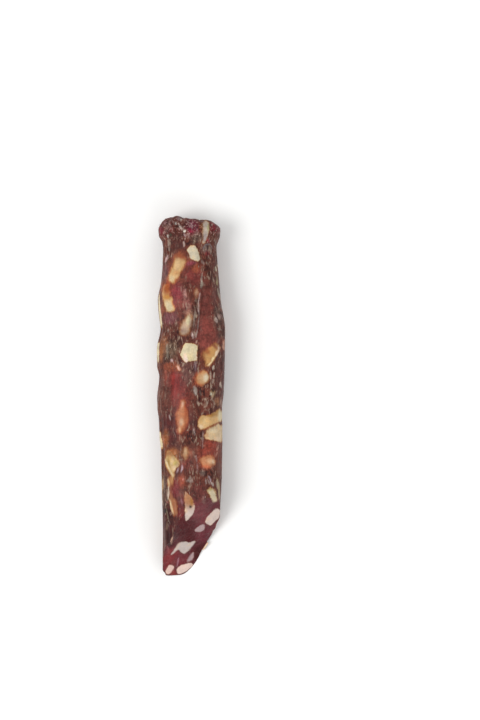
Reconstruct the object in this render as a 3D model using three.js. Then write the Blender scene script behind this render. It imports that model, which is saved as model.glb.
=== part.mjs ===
// Cured sausage: a slim air-dried link in a tight casing, with one blunt puckered end and
// one long slanting cut. Millimetres, +Z up. The link lies along Y on a narrow flat strip,
// its blunt end at +Y. X and Y are seen from above, so a place on the upper skin or on the
// cut face is named by its x and y alone.
import * as THREE from "three";

// Facets of the solid
const AROUND = 72;
const ALONG = 64;
const END_RINGS = [0.2, 0.42, 0.62, 0.78, 0.88, 0.95, 0.985];
const CUT_RINGS = [0.97, 0.84, 0.68, 0.5, 0.32, 0.15];

// Side edges seen from above, as [y, x] from the blunt end's lip to the cut tip
const LEFT_EDGE = [
  [107.5, -20.9], [102.5, -20.7], [98.5, -18.4], [94, -18], [84, -18.5], [74, -19],
  [61.4, -21.2], [53.8, -20.8], [43, -19.7], [29.4, -22], [19, -21.8], [12.5, -20.4],
  [-2, -21.8], [-8, -21.7], [-15, -20.8], [-26, -20.5], [-36, -19.4], [-60, -19],
  [-79, -18.3], [-92, -18.2], [-114, -18.2],
];
const RIGHT_EDGE = [
  [106.5, 18.4], [103, 18.2], [95, 15.9], [85, 16.6], [61.4, 19], [42, 21.9], [37, 21.8],
  [13, 21.3], [3.8, 20.9], [-10.2, 19.4], [-26, 19.5], [-35, 19.4], [-54, 19.3], [-67, 18.7],
  [-76, 18.4], [-114, 18.2],
];

// Cross-section: half its height is a base plus a share of half the width
const HALF_HEIGHT_BASE = 7;
const HALF_HEIGHT_SHARE = 0.5;
const ROUNDNESS = 0.91;
const WIDEST_HALF = 21.8;
const TOP_SHARPNESS = 4;
const REST_SINK = 0.9;
const NARROW_LIFT = 0.3;

// Blunt end: how far it bulges past the lip, its high shoulder, its fall to the right and
// the dimple where the casing is drawn in
const LIP_Y = 107.3;
const END_BULGE = 6.1;
const END_CORNER = 6;
const SHOULDER = { x: -9, reach: 8, rise: 0.5 };
const END_FALL = 0.08;
const DIMPLE = { reach: 0.34, depth: 3 };

// Puckers of the blunt end, as waves around the link, and how soon they fade
const PUCKERS = [
  { turns: 3, rise: 0.26, phase: 0.4 },
  { turns: 8, rise: 0.34, phase: 2.1 },
  { turns: 13, rise: 0.28, phase: 4.4 },
];
const PUCKER_REACH = 15;
const FACE_FOLD = 1.8;

// Lengthwise wrinkles of the casing: waves around the link that wander along it
const WRINKLES = [
  { turns: 7, rise: 0.24, phase: 0.3, wander: 0.9, pitch: 23 },
  { turns: 12, rise: 0.2, phase: 1.9, wander: -0.8, pitch: 17 },
  { turns: 17, rise: 0.15, phase: 3.6, wander: 1.2, pitch: 29 },
];

// Uneven spacing of puckers and wrinkles: the angle is led and held back around the link
const UNEVEN = [
  { turns: 2, lead: 0.18, phase: 1 },
  { turns: 3, lead: 0.1, phase: 2.5 },
];

// Long pleat on top: a ridge with a hollow on each side of it
const PLEAT = {
  from: 80, to: 30, bend: 62, x: 6, drift: -2.4, driftTo: 44,
  ridge: { at: 0, half: 1.2, rise: 0.8 },
  hollows: [{ at: -3.2, half: 1.7, rise: -0.9 }, { at: 2.1, half: 1.2, rise: -0.6 }],
};

// Pieces of fat that stand out a little where the lean has shrunk: centre, half length and
// half width, and the turn of the long side from Y towards -X
const SKIN_FAT = [
  { x: 1.8, y: 91.5, long: 5.2, wide: 3.3, turn: 14, rise: 0.45 },
  { x: -9.8, y: 81.9, long: 10.2, wide: 3.1, turn: -24, rise: 0.5 },
  { x: -14.9, y: 62.7, long: 8.8, wide: 3, turn: 14, rise: 0.45 },
  { x: -2.1, y: 46, long: 7.6, wide: 2.2, turn: -18, rise: 0.3 },
  { x: -0.8, y: 28.3, long: 5.6, wide: 5.2, turn: 0, rise: 0.55 },
  { x: 12.7, y: 25.6, long: 7.2, wide: 3.6, turn: -28, rise: 0.55 },
  { x: 7.6, y: 10.9, long: 5.6, wide: 3.2, turn: -22, rise: 0.4 },
  { x: -5.9, y: -13.4, long: 10.4, wide: 2.7, turn: -7, rise: 0.45 },
  { x: 11.4, y: -15.6, long: 7.6, wide: 3.8, turn: -72, rise: 0.5 },
  { x: 14.2, y: -25.2, long: 5.4, wide: 4.6, turn: 0, rise: 0.55 },
  { x: 10.8, y: -42.9, long: 3.8, wide: 3.3, turn: 0, rise: 0.4 },
  { x: -12.2, y: -43.6, long: 8.2, wide: 3, turn: 10, rise: 0.5 },
  { x: -11.8, y: -64.2, long: 12.6, wide: 2.3, turn: 13, rise: 0.45 },
  { x: -2.2, y: -66.4, long: 5.6, wide: 2.9, turn: 12, rise: 0.35 },
  { x: 13.8, y: -62.6, long: 5, wide: 2.3, turn: 10, rise: 0.35 },
];

// Slanting cut: where it crosses the middle line, how far it runs back along Y for each
// millimetre to the right and for each millimetre up, and where its rim strays from flat
const CUT_MIDDLE_Y = -89.4;
const CUT_SLOPE_X = 0.945;
const CUT_SLOPE_Z = 1.07;
const CUT_STRAYS = [
  { at: 45, reach: 15, by: -1.8 },
  { at: 98, reach: 16, by: 2.6 },
  { at: 132, reach: 12, by: -3.4 },
  { at: -55, reach: 18, by: 1.5 },
  { at: -98, reach: 26, by: -4.4 },
  { at: -158, reach: 20, by: -2.6 },
];
const CUT_DISH = 0.5;
const CUT_FAT = [
  { x: 13.4, y: -77, long: 7, wide: 3.3, turn: -42, rise: 0.35 },
  { x: 5.6, y: -84.6, long: 3.2, wide: 2, turn: -60, rise: 0.25 },
  { x: -3.4, y: -96.6, long: 6.4, wide: 3, turn: -62, rise: 0.35 },
  { x: -4, y: -110.4, long: 5.8, wide: 2.8, turn: -72, rise: 0.35 },
  { x: -13.8, y: -110.6, long: 3.4, wide: 2.6, turn: -50, rise: 0.3 },
];

const RADIANS = Math.PI / 180;
const RIM_STEPS = 6;

const bell = (offset) => Math.exp(-offset * offset);
const ease = (t) => THREE.MathUtils.smoothstep(t, 0, 1);

// Value at y through [y, value] stations, on a smooth curve that never overshoots them.
function along(stations, y) {
  const last = stations.length - 1;
  if (y >= stations[0][0]) return stations[0][1];
  if (y <= stations[last][0]) return stations[last][1];
  const i = stations.findIndex((station) => station[0] < y) - 1;
  const rate = (k) =>
    (stations[k + 1][1] - stations[k][1]) / (stations[k + 1][0] - stations[k][0]);
  const tangent = (k) => {
    if (k === 0 || k === last) return 0;
    const [before, after] = [rate(k - 1), rate(k)];
    return before * after > 0 ? (2 * before * after) / (before + after) : 0;
  };
  const [[y0, v0], [y1, v1]] = [stations[i], stations[i + 1]];
  const span = y1 - y0;
  const t = (y - y0) / span;
  return (
    v0 * (1 + 2 * t) * (1 - t) ** 2 + v1 * t * t * (3 - 2 * t) +
    span * (tangent(i) * t * (1 - t) ** 2 - tangent(i + 1) * t * t * (1 - t))
  );
}

// Height added by the pieces of fat at x, y: level in the middle with a soft edge.
function fatRise(pieces, x, y) {
  return pieces.reduce((sum, piece) => {
    const [c, s] = [Math.cos(piece.turn * RADIANS), Math.sin(piece.turn * RADIANS)];
    const [dx, dy] = [x - piece.x, y - piece.y];
    const reach = Math.hypot((dy * c - dx * s) / piece.long, (dx * c + dy * s) / piece.wide);
    return sum + piece.rise * ease((1.3 - reach) / 0.6);
  }, 0);
}

// Height added by the long pleat at x, y.
function pleatRise(x, y) {
  const strength = ease((PLEAT.from - y) / 12) * ease((y - PLEAT.to) / 12);
  const lower = ease((PLEAT.bend - y) / (PLEAT.bend - PLEAT.driftTo));
  const offset = x - PLEAT.x - PLEAT.drift * lower;
  const fold = ({ at, half, rise }) => rise * bell((offset - at) / half);
  return strength * (fold(PLEAT.ridge) + fold(PLEAT.hollows[0]) * lower + fold(PLEAT.hollows[1]));
}

// Angle about the link as the folds of the casing see it.
function unevenAngle(angle) {
  return UNEVEN.reduce(
    (sum, { turns, lead, phase }) => sum + lead * Math.sin(turns * angle + phase), angle);
}

// Height of the blunt end's puckers at their fullest, at an angle about the link.
function puckerRise(angle) {
  return PUCKERS.reduce(
    (sum, { turns, rise, phase }) => sum + rise * Math.cos(turns * unevenAngle(angle) + phase), 0);
}

// Height of the lengthwise wrinkles at an angle about the link and a y.
function wrinkleRise(angle, y) {
  return WRINKLES.reduce((sum, { turns, rise, phase, wander, pitch }) => {
    const turned = turns * unevenAngle(angle) + phase + wander * Math.sin(y / pitch);
    return sum + rise * Math.cos(turned);
  }, 0);
}

// Height of the casing over its plain form, at an angle about the link.
function casingRise(angle, x, y) {
  const top = ease(TOP_SHARPNESS * Math.sin(angle));
  return (
    puckerRise(angle) * Math.exp((y - LIP_Y) / PUCKER_REACH) + wrinkleRise(angle, y) +
    top * (fatRise(SKIN_FAT, x, y) + pleatRise(x, y))
  );
}

// Middle and half sizes of the cross-section at y.
function section(y) {
  const [left, right] = [along(LEFT_EDGE, y), along(RIGHT_EDGE, y)];
  const halfWidth = (right - left) / 2;
  const halfHeight = HALF_HEIGHT_BASE + HALF_HEIGHT_SHARE * halfWidth;
  const lift = NARROW_LIFT * (WIDEST_HALF - halfWidth);
  return { x: (left + right) / 2, z: halfHeight - REST_SINK + lift, halfWidth, halfHeight };
}

// Point of the casing at y and an angle about the link: 0 to the right, 90 degrees on top.
// Whatever would reach below the resting strip is flat on it.
function casing(angle, y) {
  const middle = section(y);
  const rounded = (value) => Math.sign(value) * Math.abs(value) ** ROUNDNESS;
  const out = new THREE.Vector2(
    middle.halfWidth * rounded(Math.cos(angle)), middle.halfHeight * rounded(Math.sin(angle)));
  out.setLength(out.length() + casingRise(angle, middle.x + out.x, y));
  return new THREE.Vector3(middle.x + out.x, y, Math.max(0, middle.z + out.y));
}

const cutMiddle = section(CUT_MIDDLE_Y);
const cutCentre = new THREE.Vector3(cutMiddle.x, CUT_MIDDLE_Y, cutMiddle.z);
const cutNormal = new THREE.Vector3(CUT_SLOPE_X, -1, CUT_SLOPE_Z).normalize();
const cutY = (x, z) =>
  CUT_MIDDLE_Y + CUT_SLOPE_X * (x - cutCentre.x) + CUT_SLOPE_Z * (z - cutCentre.z);

// How far the rim of the cut strays along Y from the flat cut, at an angle about the link.
function cutStray(angle) {
  return CUT_STRAYS.reduce((sum, { at, reach, by }) => {
    const turn = THREE.MathUtils.euclideanModulo(angle / RADIANS - at + 180, 360) - 180;
    return sum + by * bell(turn / reach);
  }, 0);
}

// Rim of the cut at an angle: the casing's own point where the cut meets it.
function cutRim(angle) {
  let rim = casing(angle, CUT_MIDDLE_Y);
  for (let step = 0; step < RIM_STEPS; step++)
    rim = casing(angle, cutY(rim.x, rim.z) + cutStray(angle));
  return rim;
}

// Point of the cut face, share of the way from its centre to the rim.
function cutFace(angle, rim, share) {
  const point = cutCentre.clone().lerp(rim, share);
  point.y = cutY(point.x, point.z) + cutStray(angle) * share ** 4;
  const rise = fatRise(CUT_FAT, point.x, point.y) * (1 - share ** 6) - CUT_DISH * (1 - share ** 2);
  return point.addScaledVector(cutNormal, rise);
}

// Point of the blunt end, share of the way from its middle to the lip.
function bluntEnd(angle, share) {
  const middle = section(LIP_Y);
  const lip = casing(angle, LIP_Y);
  const point = new THREE.Vector3(middle.x, LIP_Y, middle.z).lerp(lip, share);
  const crown = 1 - share ** END_CORNER;
  const shoulder = SHOULDER.rise * bell((point.x - SHOULDER.x) / SHOULDER.reach);
  point.y +=
    crown * (END_BULGE + shoulder + FACE_FOLD * share * puckerRise(angle)) -
    END_FALL * (point.x - middle.x) * (1 - share ** 4) - DIMPLE.depth * bell(share / DIMPLE.reach);
  return point;
}

// Rings of points from the blunt end's middle, over the skin, to the middle of the cut.
function rings() {
  const angles = Array.from({ length: AROUND }, (_, k) => (2 * Math.PI * k) / AROUND);
  const rims = angles.map(cutRim);
  const skin = Array.from({ length: ALONG + 1 }, (_, i) =>
    angles.map((angle, k) =>
      i === ALONG ? rims[k] : casing(angle, THREE.MathUtils.lerp(LIP_Y, rims[k].y, i / ALONG))));
  return [
    [bluntEnd(0, 0)],
    ...END_RINGS.map((share) => angles.map((angle) => bluntEnd(angle, share))),
    ...skin,
    ...CUT_RINGS.map((share) => angles.map((angle, k) => cutFace(angle, rims[k], share))),
    [cutFace(0, rims[0], 0)],
  ];
}

// Closed surface through the rings, whose first and last are single points.
function closedSurface(loops) {
  const starts = [];
  loops.reduce((count, loop) => (starts.push(count), count + loop.length), 0);
  const index = [];
  for (let i = 0; i + 1 < loops.length; i++) {
    for (let k = 0; k < AROUND; k++) {
      const at = (ring, step) => starts[ring] + ((k + step) % AROUND) % loops[ring].length;
      const [a, b, c, d] = [at(i, 0), at(i, 1), at(i + 1, 1), at(i + 1, 0)];
      if (a !== b) index.push(a, b, d);
      if (c !== d) index.push(b, c, d);
    }
  }
  const geometry = new THREE.BufferGeometry().setFromPoints(loops.flat());
  geometry.setIndex(index);
  return geometry;
}

const geometry = closedSurface(rings());
geometry.computeBoundingBox();
const middle = geometry.boundingBox.getCenter(new THREE.Vector3());
geometry.translate(-middle.x, -middle.y, 0);
geometry.computeVertexNormals();

const sausage = new THREE.Mesh(
  geometry,
  new THREE.MeshStandardMaterial({ color: "#744740", roughness: 0.5, metalness: 0 }));
sausage.name = "sausage";

const part = new THREE.Group();
part.name = "cured_sausage";
part.add(sausage);

export default part;
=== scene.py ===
"""Cured sausage: a slim air-dried link with a blunt puckered end and a long slanting cut.

The link is one closed skin on the same named sizes as its solid, drawn much finer. Sizes are in
millimetres and become metres when a mesh is made. X and Y are seen from above, the blunt end at
+Y. Colours are written as they look on screen, and surface() turns them into what a shader takes.
Only the floor's colour and the tint of aged fat are written as the shader takes them.
"""

from __future__ import annotations

import logging
import math
from dataclasses import dataclass, field
from enum import Enum

import bpy
import numpy as np
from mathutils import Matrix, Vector


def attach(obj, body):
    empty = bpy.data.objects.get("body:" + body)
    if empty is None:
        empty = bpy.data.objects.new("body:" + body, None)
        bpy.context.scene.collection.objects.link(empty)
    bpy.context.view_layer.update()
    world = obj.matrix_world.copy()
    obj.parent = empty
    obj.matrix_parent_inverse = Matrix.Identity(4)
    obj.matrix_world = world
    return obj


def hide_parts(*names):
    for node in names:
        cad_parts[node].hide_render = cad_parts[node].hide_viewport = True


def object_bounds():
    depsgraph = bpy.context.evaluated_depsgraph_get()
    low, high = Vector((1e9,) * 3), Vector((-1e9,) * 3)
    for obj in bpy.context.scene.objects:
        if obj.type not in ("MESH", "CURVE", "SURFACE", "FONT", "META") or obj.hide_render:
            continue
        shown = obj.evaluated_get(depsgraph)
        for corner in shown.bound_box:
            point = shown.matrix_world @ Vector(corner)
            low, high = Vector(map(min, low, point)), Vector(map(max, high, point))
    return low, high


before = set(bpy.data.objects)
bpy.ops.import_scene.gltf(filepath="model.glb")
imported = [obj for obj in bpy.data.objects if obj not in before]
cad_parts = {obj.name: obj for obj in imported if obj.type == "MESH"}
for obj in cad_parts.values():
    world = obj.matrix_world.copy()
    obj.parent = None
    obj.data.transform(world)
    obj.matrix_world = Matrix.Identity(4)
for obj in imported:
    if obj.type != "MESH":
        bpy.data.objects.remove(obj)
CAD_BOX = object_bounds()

log = logging.getLogger("cured_sausage")

Point = tuple[float, float]
Colour = tuple[float, float, float]
Array = np.ndarray
Socket = bpy.types.NodeSocket

MM = 0.001
NODE = "sausage"

# Types of the sockets of node groups
FLOAT, COLOUR, VECTOR = "NodeSocketFloat", "NodeSocketColor", "NodeSocketVector"

# How bright a level white surface looks in this studio, and the gloss that lies over every colour
LIGHT = 1.05
GLOSS = 0.014
DARKEST, PALEST = 0.003, 0.9

# Where the camera hangs over the link before it is centred, and the height that is in focus
EYE = (31.2, 23.0)
EYE_HEIGHT = 1617.0
FOCUS_HEIGHT = 17.0

# How far from a piece of fat its edge is still worked out
FAR = 4.0


def surface(screen: Colour) -> Colour:
    """Turns a colour as it looks on screen into the colour of the surface itself.

    Args:
        screen: Red, green and blue from 0 to 255.

    Returns:
        The linear red, green and blue from 0 to 1 that a shader takes.
    """
    channels = np.array(screen) / 255.0
    linear = np.where(channels <= 0.04045, channels / 12.92, ((channels + 0.055) / 1.055) ** 2.4)
    return tuple(float(c) for c in np.clip((linear - GLOSS) / LIGHT, DARKEST, PALEST))


def magnified(height: Array | float) -> Array | float:
    """How much larger the camera sees what lies at a height than what lies in focus."""
    return (EYE_HEIGHT - FOCUS_HEIGHT) / (EYE_HEIGHT - height)


def ease(t: Array) -> Array:
    """Smooth step of t from 0 to 1."""
    t = np.clip(t, 0.0, 1.0)
    return t * t * (3.0 - 2.0 * t)


def bell(offset: Array) -> Array:
    """Bell curve of height 1 at offset 0."""
    return np.exp(-offset * offset)


def crinkle(knots: Array) -> Array:
    """Depth of a crinkle, from 0 to 1, where knots of casing are drawn in."""
    return ease(knots * 0.6 + 0.4)


def along(stations: tuple[Point, ...], y: Array) -> Array:
    """Follows (y, value) stations on a smooth curve that never overshoots them.

    Args:
        stations: Pairs of y and value, from the highest y to the lowest.
        y: Where the curve is read.

    Returns:
        The value at each y.
    """
    knots = np.array(stations[::-1])
    at, value = knots[:, 0], knots[:, 1]
    rate = np.diff(value) / np.diff(at)
    product, total = rate[:-1] * rate[1:], rate[:-1] + rate[1:]
    inner = np.where(product > 0, 2.0 * product / np.where(product > 0, total, 1.0), 0.0)
    tangent = np.concatenate([[0.0], inner, [0.0]])
    y = np.clip(y, at[0], at[-1])
    i = np.clip(np.searchsorted(at, y, side="right") - 1, 0, len(at) - 2)
    span = at[i + 1] - at[i]
    t = (y - at[i]) / span
    return (
        value[i] * (1 + 2 * t) * (1 - t) ** 2
        + value[i + 1] * t * t * (3 - 2 * t)
        + span * (tangent[i] * t * (1 - t) ** 2 - tangent[i + 1] * t * t * (1 - t))
    )


def oval_reach(oval: Mound | Tone, x: Array, y: Array) -> Array:
    """How far each place is from an oval's centre: 1 on the oval itself."""
    c, s = math.cos(math.radians(oval.turn)), math.sin(math.radians(oval.turn))
    dx, dy = x - oval.x, y - oval.y
    return np.hypot((dy * c - dx * s) / oval.long, (dx * c + dy * s) / oval.wide)


def held(points: Array) -> Array:
    """Points in metres, kept inside the solid's box."""
    return np.clip(points, np.array(CAD_BOX[0]), np.array(CAD_BOX[1]))


def new_object(name: str, data: bpy.types.ID) -> bpy.types.Object:
    """Makes an object of its data and links it to the scene."""
    made = bpy.data.objects.new(name, data)
    bpy.context.scene.collection.objects.link(made)
    return made


def new_mesh(name: str, points: Array, rings: int, slots: list[int]) -> bpy.types.Mesh:
    """Makes a smooth mesh of rings of points, with a fan at each end that closes it.

    Args:
        name: The mesh's name.
        points: The rings' points in millimetres, then the middle of the first and last ring.
        rings: How many rings there are.
        slots: Material slot of each face: those between the rings, then the two fans.

    Returns:
        The mesh, its faces pointing outward and its points inside the solid's box.
    """
    around = (len(points) - 2) // rings
    step = np.arange(around)
    after, base = (step + 1) % around, np.arange(rings - 1)[:, None] * around
    quads = np.stack([base + step, base + after, base + around + after, base + around + step], -1)
    end, last = np.full(around, rings * around), (rings - 1) * around
    fans = [np.stack([end, after, step], -1), np.stack([last + step, last + after, end + 1], -1)]
    mesh = bpy.data.meshes.new(name)
    faces = quads.reshape(-1, 4).tolist() + np.concatenate(fans).tolist()
    mesh.from_pydata(held(points * MM).tolist(), [], faces)
    mesh.polygons.foreach_set("material_index", slots)
    mesh.shade_smooth()
    return mesh


@dataclass(frozen=True)
class Ripple:
    """Smooth random unevenness on a lattice that closes on itself around the link."""

    depth: float
    cells: int
    pitch: float
    seed: int
    rows: int = 512

    def noise(self, turns: Array, down: Array) -> Array:
        """Random values that change smoothly from place to place.

        Args:
            turns: Angle about the link, in turns.
            down: Place along the link.

        Returns:
            Values from -1 to 1.
        """
        values = np.random.default_rng(self.seed).uniform(-1.0, 1.0, (self.cells, self.rows))
        u, v = (turns % 1.0) * self.cells, down / self.pitch + self.rows / 2
        iu, iv = np.floor(u).astype(int), np.floor(v).astype(int)
        fu, fv = ease(u - iu), ease(v - iv)
        pick = lambda du, dv: values[(iu + du) % self.cells, (iv + dv) % self.rows]
        near = pick(0, 0) * (1 - fu) + pick(1, 0) * fu
        far = pick(0, 1) * (1 - fu) + pick(1, 1) * fu
        return near * (1 - fv) + far * fv

    def height(self, turns: Array, down: Array) -> Array:
        """Height of the unevenness, from -depth to depth."""
        return self.depth * self.noise(turns, down)


@dataclass(frozen=True)
class Wave:
    """A wave around the link, which may wander along it."""

    turns: int
    rise: float
    phase: float
    wander: float = 0.0
    pitch: float = 1.0

    def height(self, angle: Array, y: Array) -> Array:
        """Height of the wave at an angle and a y."""
        wandered = self.wander * np.sin(y / self.pitch)
        return self.rise * np.cos(self.turns * angle + self.phase + wandered)


@dataclass(frozen=True)
class Mound:
    """A piece of fat that stands out a little: level in the middle, with a soft edge."""

    x: float
    y: float
    long: float
    wide: float
    turn: float
    rise: float
    outer: float = 1.3
    slope: float = 0.6

    def height(self, x: Array, y: Array) -> Array:
        """Height that the piece adds at x, y."""
        return self.rise * ease((self.outer - oval_reach(self, x, y)) / self.slope)


@dataclass(frozen=True)
class Hump:
    """A ridge or a hollow beside the pleat: how high, how far to the right, how wide."""

    rise: float
    offset: float
    reach: float

    def height(self, offset: Array) -> Array:
        """Height of the hump at a distance from the pleat's line."""
        return self.rise * bell((offset - self.offset) / self.reach)


@dataclass(frozen=True)
class Pleat:
    """The long pleat on top: a ridge with a hollow on each side, which leans left lower down."""

    x: float = 6
    top: float = 80
    foot: float = 30
    fade: float = 12
    lower_top: float = 62
    lower_fade: float = 18
    lean: float = 2.4
    ridge: Hump = Hump(0.8, 0, 1.2)
    left_hollow: Hump = Hump(-0.9, -3.2, 1.7)
    right_hollow: Hump = Hump(-0.6, 2.1, 1.2)

    def height(self, x: Array, y: Array) -> Array:
        """Height of the pleat at x, y."""
        strength = ease((self.top - y) / self.fade) * ease((y - self.foot) / self.fade)
        lower = ease((self.lower_top - y) / self.lower_fade)
        offset = x - self.x + self.lean * lower
        hollows = self.left_hollow.height(offset) * lower + self.right_hollow.height(offset)
        return strength * (self.ridge.height(offset) + hollows)


@dataclass(frozen=True)
class Creases:
    """Fine creases drawn out along the casing, and crinkles that take over at the blunt end."""

    depth: float = 0.3
    crinkle_depth: float = 0.45
    sway: float = 0.004
    sway_pitch: float = 6.1
    sharpness: float = 1.6
    fine: tuple[Ripple, ...] = (
        Ripple(0.45, 46, 17.0, 3), Ripple(0.35, 74, 9.0, 5), Ripple(0.2, 101, 5.5, 9),
    )
    knots: tuple[Ripple, ...] = (Ripple(1, 60, 2.3, 21), Ripple(0.6, 96, 1.3, 22))
    patches: Ripple = Ripple(0.65, 7, 24.0, 31)
    least: float = 0.35
    past_lip: float = 4
    end_reach: float = 9

    def height(self, turns: Array, y: Array, lip_y: float) -> Array:
        """Depth of the creases.

        Args:
            turns: Angle about the link as the folds see it, in turns.
            y: Places along the link.
            lip_y: Where the blunt end begins.

        Returns:
            Heights at or below 0.
        """
        turns = turns + self.sway * np.sin(y / self.sway_pitch)
        fine = sum(r.depth * (1 - np.abs(r.noise(turns, y)) * self.sharpness) for r in self.fine)
        knots = sum(ripple.height(turns, y) for ripple in self.knots)
        end = np.exp(-np.maximum(lip_y + self.past_lip - y, 0) / self.end_reach)
        where = self.least + self.patches.depth * ease(self.patches.noise(turns, y) + 0.5)
        return -self.depth * where * ease(fine) ** 2 - self.crinkle_depth * end * crinkle(knots)


@dataclass(frozen=True)
class Section:
    """Edges, middle height and half height of the cross-section at each y."""

    left: Array
    right: Array
    z: Array
    half_height: Array

    @property
    def x(self) -> Array:
        """Middle of the section from side to side."""
        return (self.left + self.right) / 2

    @property
    def half_width(self) -> Array:
        """Half of the section's width."""
        return (self.right - self.left) / 2


@dataclass(frozen=True)
class LinkForm:
    """Form of the link in millimetres, on the same named sizes as its solid."""

    left_edge: tuple[Point, ...] = (
        (107.5, -20.9), (102.5, -20.7), (98.5, -18.4), (94, -18), (84, -18.5), (74, -19),
        (61.4, -21.2), (53.8, -20.8), (43, -19.7), (29.4, -22), (19, -21.8), (12.5, -20.4),
        (-2, -21.8), (-8, -21.7), (-15, -20.8), (-26, -20.5), (-36, -19.4), (-60, -19),
        (-79, -18.3), (-92, -18.2), (-114, -18.2),
    )
    right_edge: tuple[Point, ...] = (
        (106.5, 18.4), (103, 18.2), (95, 15.9), (85, 16.6), (61.4, 19), (42, 21.9), (37, 21.8),
        (13, 21.3), (3.8, 20.9), (-10.2, 19.4), (-26, 19.5), (-35, 19.4), (-54, 19.3),
        (-67, 18.7), (-76, 18.4), (-114, 18.2),
    )
    half_height_base: float = 7
    half_height_share: float = 0.5
    roundness: float = 0.91
    widest_half: float = 21.8
    top_sharpness: float = 4
    rest_sink: float = 0.9
    narrow_lift: float = 0.3
    lip_y: float = 107.3
    end_bulge: float = 6.1
    end_corner: float = 6
    shoulder: tuple[float, float, float] = (-9, 8, 0.5)
    end_fall: float = 0.08
    dimple: Point = (0.34, 3)
    puckers: tuple[Wave, ...] = (Wave(3, 0.26, 0.4), Wave(8, 0.34, 2.1), Wave(13, 0.28, 4.4))
    pucker_reach: float = 15
    face_fold: float = 1.8
    face_knots: tuple[Ripple, ...] = (Ripple(1, 34, 2.4, 51), Ripple(0.6, 71, 1.2, 52))
    face_knot_depth: float = 0.7
    face_girth: float = 22
    wrinkles: tuple[Wave, ...] = (
        Wave(7, 0.24, 0.3, 0.9, 23),
        Wave(12, 0.2, 1.9, -0.8, 17),
        Wave(17, 0.15, 3.6, 1.2, 29),
    )
    uneven: tuple[Wave, ...] = (Wave(2, 0.18, 1 - math.pi / 2), Wave(3, 0.1, 2.5 - math.pi / 2))
    pleat: Pleat = Pleat()
    creases: Creases = Creases()
    skin_fat: tuple[Mound, ...] = (
        Mound(1.8, 91.5, 5.2, 3.3, 14, 0.45), Mound(-9.8, 81.9, 10.2, 3.1, -24, 0.5),
        Mound(-14.9, 62.7, 8.8, 3, 14, 0.45), Mound(-2.1, 46, 7.6, 2.2, -18, 0.3),
        Mound(-0.8, 28.3, 5.6, 5.2, 0, 0.55), Mound(12.7, 25.6, 7.2, 3.6, -28, 0.55),
        Mound(7.6, 10.9, 5.6, 3.2, -22, 0.4), Mound(-5.9, -13.4, 10.4, 2.7, -7, 0.45),
        Mound(11.4, -15.6, 7.6, 3.8, -72, 0.5), Mound(14.2, -25.2, 5.4, 4.6, 0, 0.55),
        Mound(10.8, -42.9, 3.8, 3.3, 0, 0.4), Mound(-12.2, -43.6, 8.2, 3, 10, 0.5),
        Mound(-11.8, -64.2, 12.6, 2.3, 13, 0.45), Mound(-2.2, -66.4, 5.6, 2.9, 12, 0.35),
        Mound(13.8, -62.6, 5, 2.3, 10, 0.35),
    )
    cut_middle_y: float = -89.4
    cut_slope_x: float = 0.945
    cut_slope_z: float = 1.07
    cut_strays: tuple[tuple[float, float, float], ...] = (
        (45, 15, -1.8), (98, 16, 2.6), (132, 12, -3.4), (-55, 18, 1.5), (-98, 26, -4.4),
        (-158, 20, -2.6),
    )
    cut_dish: float = 0.5
    cut_fat: tuple[Mound, ...] = (
        Mound(13.4, -77, 7, 3.3, -42, 0.35), Mound(5.6, -84.6, 3.2, 2, -60, 0.25),
        Mound(-3.4, -96.6, 6.4, 3, -62, 0.35), Mound(-4, -110.4, 5.8, 2.8, -72, 0.35),
        Mound(-13.8, -110.6, 3.4, 2.6, -50, 0.3),
    )
    cut_span: float = 60
    cut_grain: tuple[Ripple, ...] = (
        Ripple(0.16, 26, 60 / 26, 41), Ripple(0.1, 61, 60 / 61, 42),
    )
    rim_steps: int = 6

    def section(self, y: Array) -> Section:
        """Cross-section at each y."""
        left, right = along(self.left_edge, y), along(self.right_edge, y)
        half_width = (right - left) / 2
        half_height = self.half_height_base + self.half_height_share * half_width
        lift = self.narrow_lift * (self.widest_half - half_width)
        return Section(left, right, half_height - self.rest_sink + lift, half_height)

    def uneven_angle(self, angle: Array) -> Array:
        """Angle about the link as the folds of the casing see it."""
        return angle + sum(wave.height(angle, angle) for wave in self.uneven)

    def casing_rise(self, angle: Array, x: Array, y: Array) -> Array:
        """Height of the casing over its plain form.

        Args:
            angle: Angles about the link.
            x: Places from side to side.
            y: Places along the link.

        Returns:
            The height at each place.
        """
        led = self.uneven_angle(angle)
        pucker = sum(wave.height(led, y) for wave in self.puckers)
        wrinkle = sum(wave.height(led, y) for wave in self.wrinkles)
        mounds = sum(mound.height(x, y) for mound in self.skin_fat)
        top = ease(self.top_sharpness * np.sin(angle))
        return (
            pucker * np.exp((y - self.lip_y) / self.pucker_reach)
            + wrinkle
            + top * (mounds + self.pleat.height(x, y))
        )

    def casing(self, angle: Array, y: Array) -> Array:
        """Points of the casing, flat on the strip that the link rests on.

        Args:
            angle: Angles about the link: 0 to the right, a quarter turn on top.
            y: Places along the link.

        Returns:
            Points with x, y and z on the last axis.
        """
        middle = self.section(y)
        rounded = lambda value: np.sign(value) * np.abs(value) ** self.roundness
        out_x = middle.half_width * rounded(np.cos(angle))
        out_z = middle.half_height * rounded(np.sin(angle))
        rise = self.casing_rise(angle, middle.x + out_x, y)
        rise = rise + self.creases.height(self.uneven_angle(angle) / math.tau, y, self.lip_y)
        grow = 1 + rise / np.hypot(out_x, out_z)
        z = np.maximum(0, middle.z + out_z * grow)
        return np.stack([middle.x + out_x * grow, y, z], axis=-1)

    @property
    def cut_centre(self) -> Array:
        """Middle of the cut face before it is dished."""
        middle = self.section(np.array(self.cut_middle_y))
        return np.array([float(middle.x), self.cut_middle_y, float(middle.z)])

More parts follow.
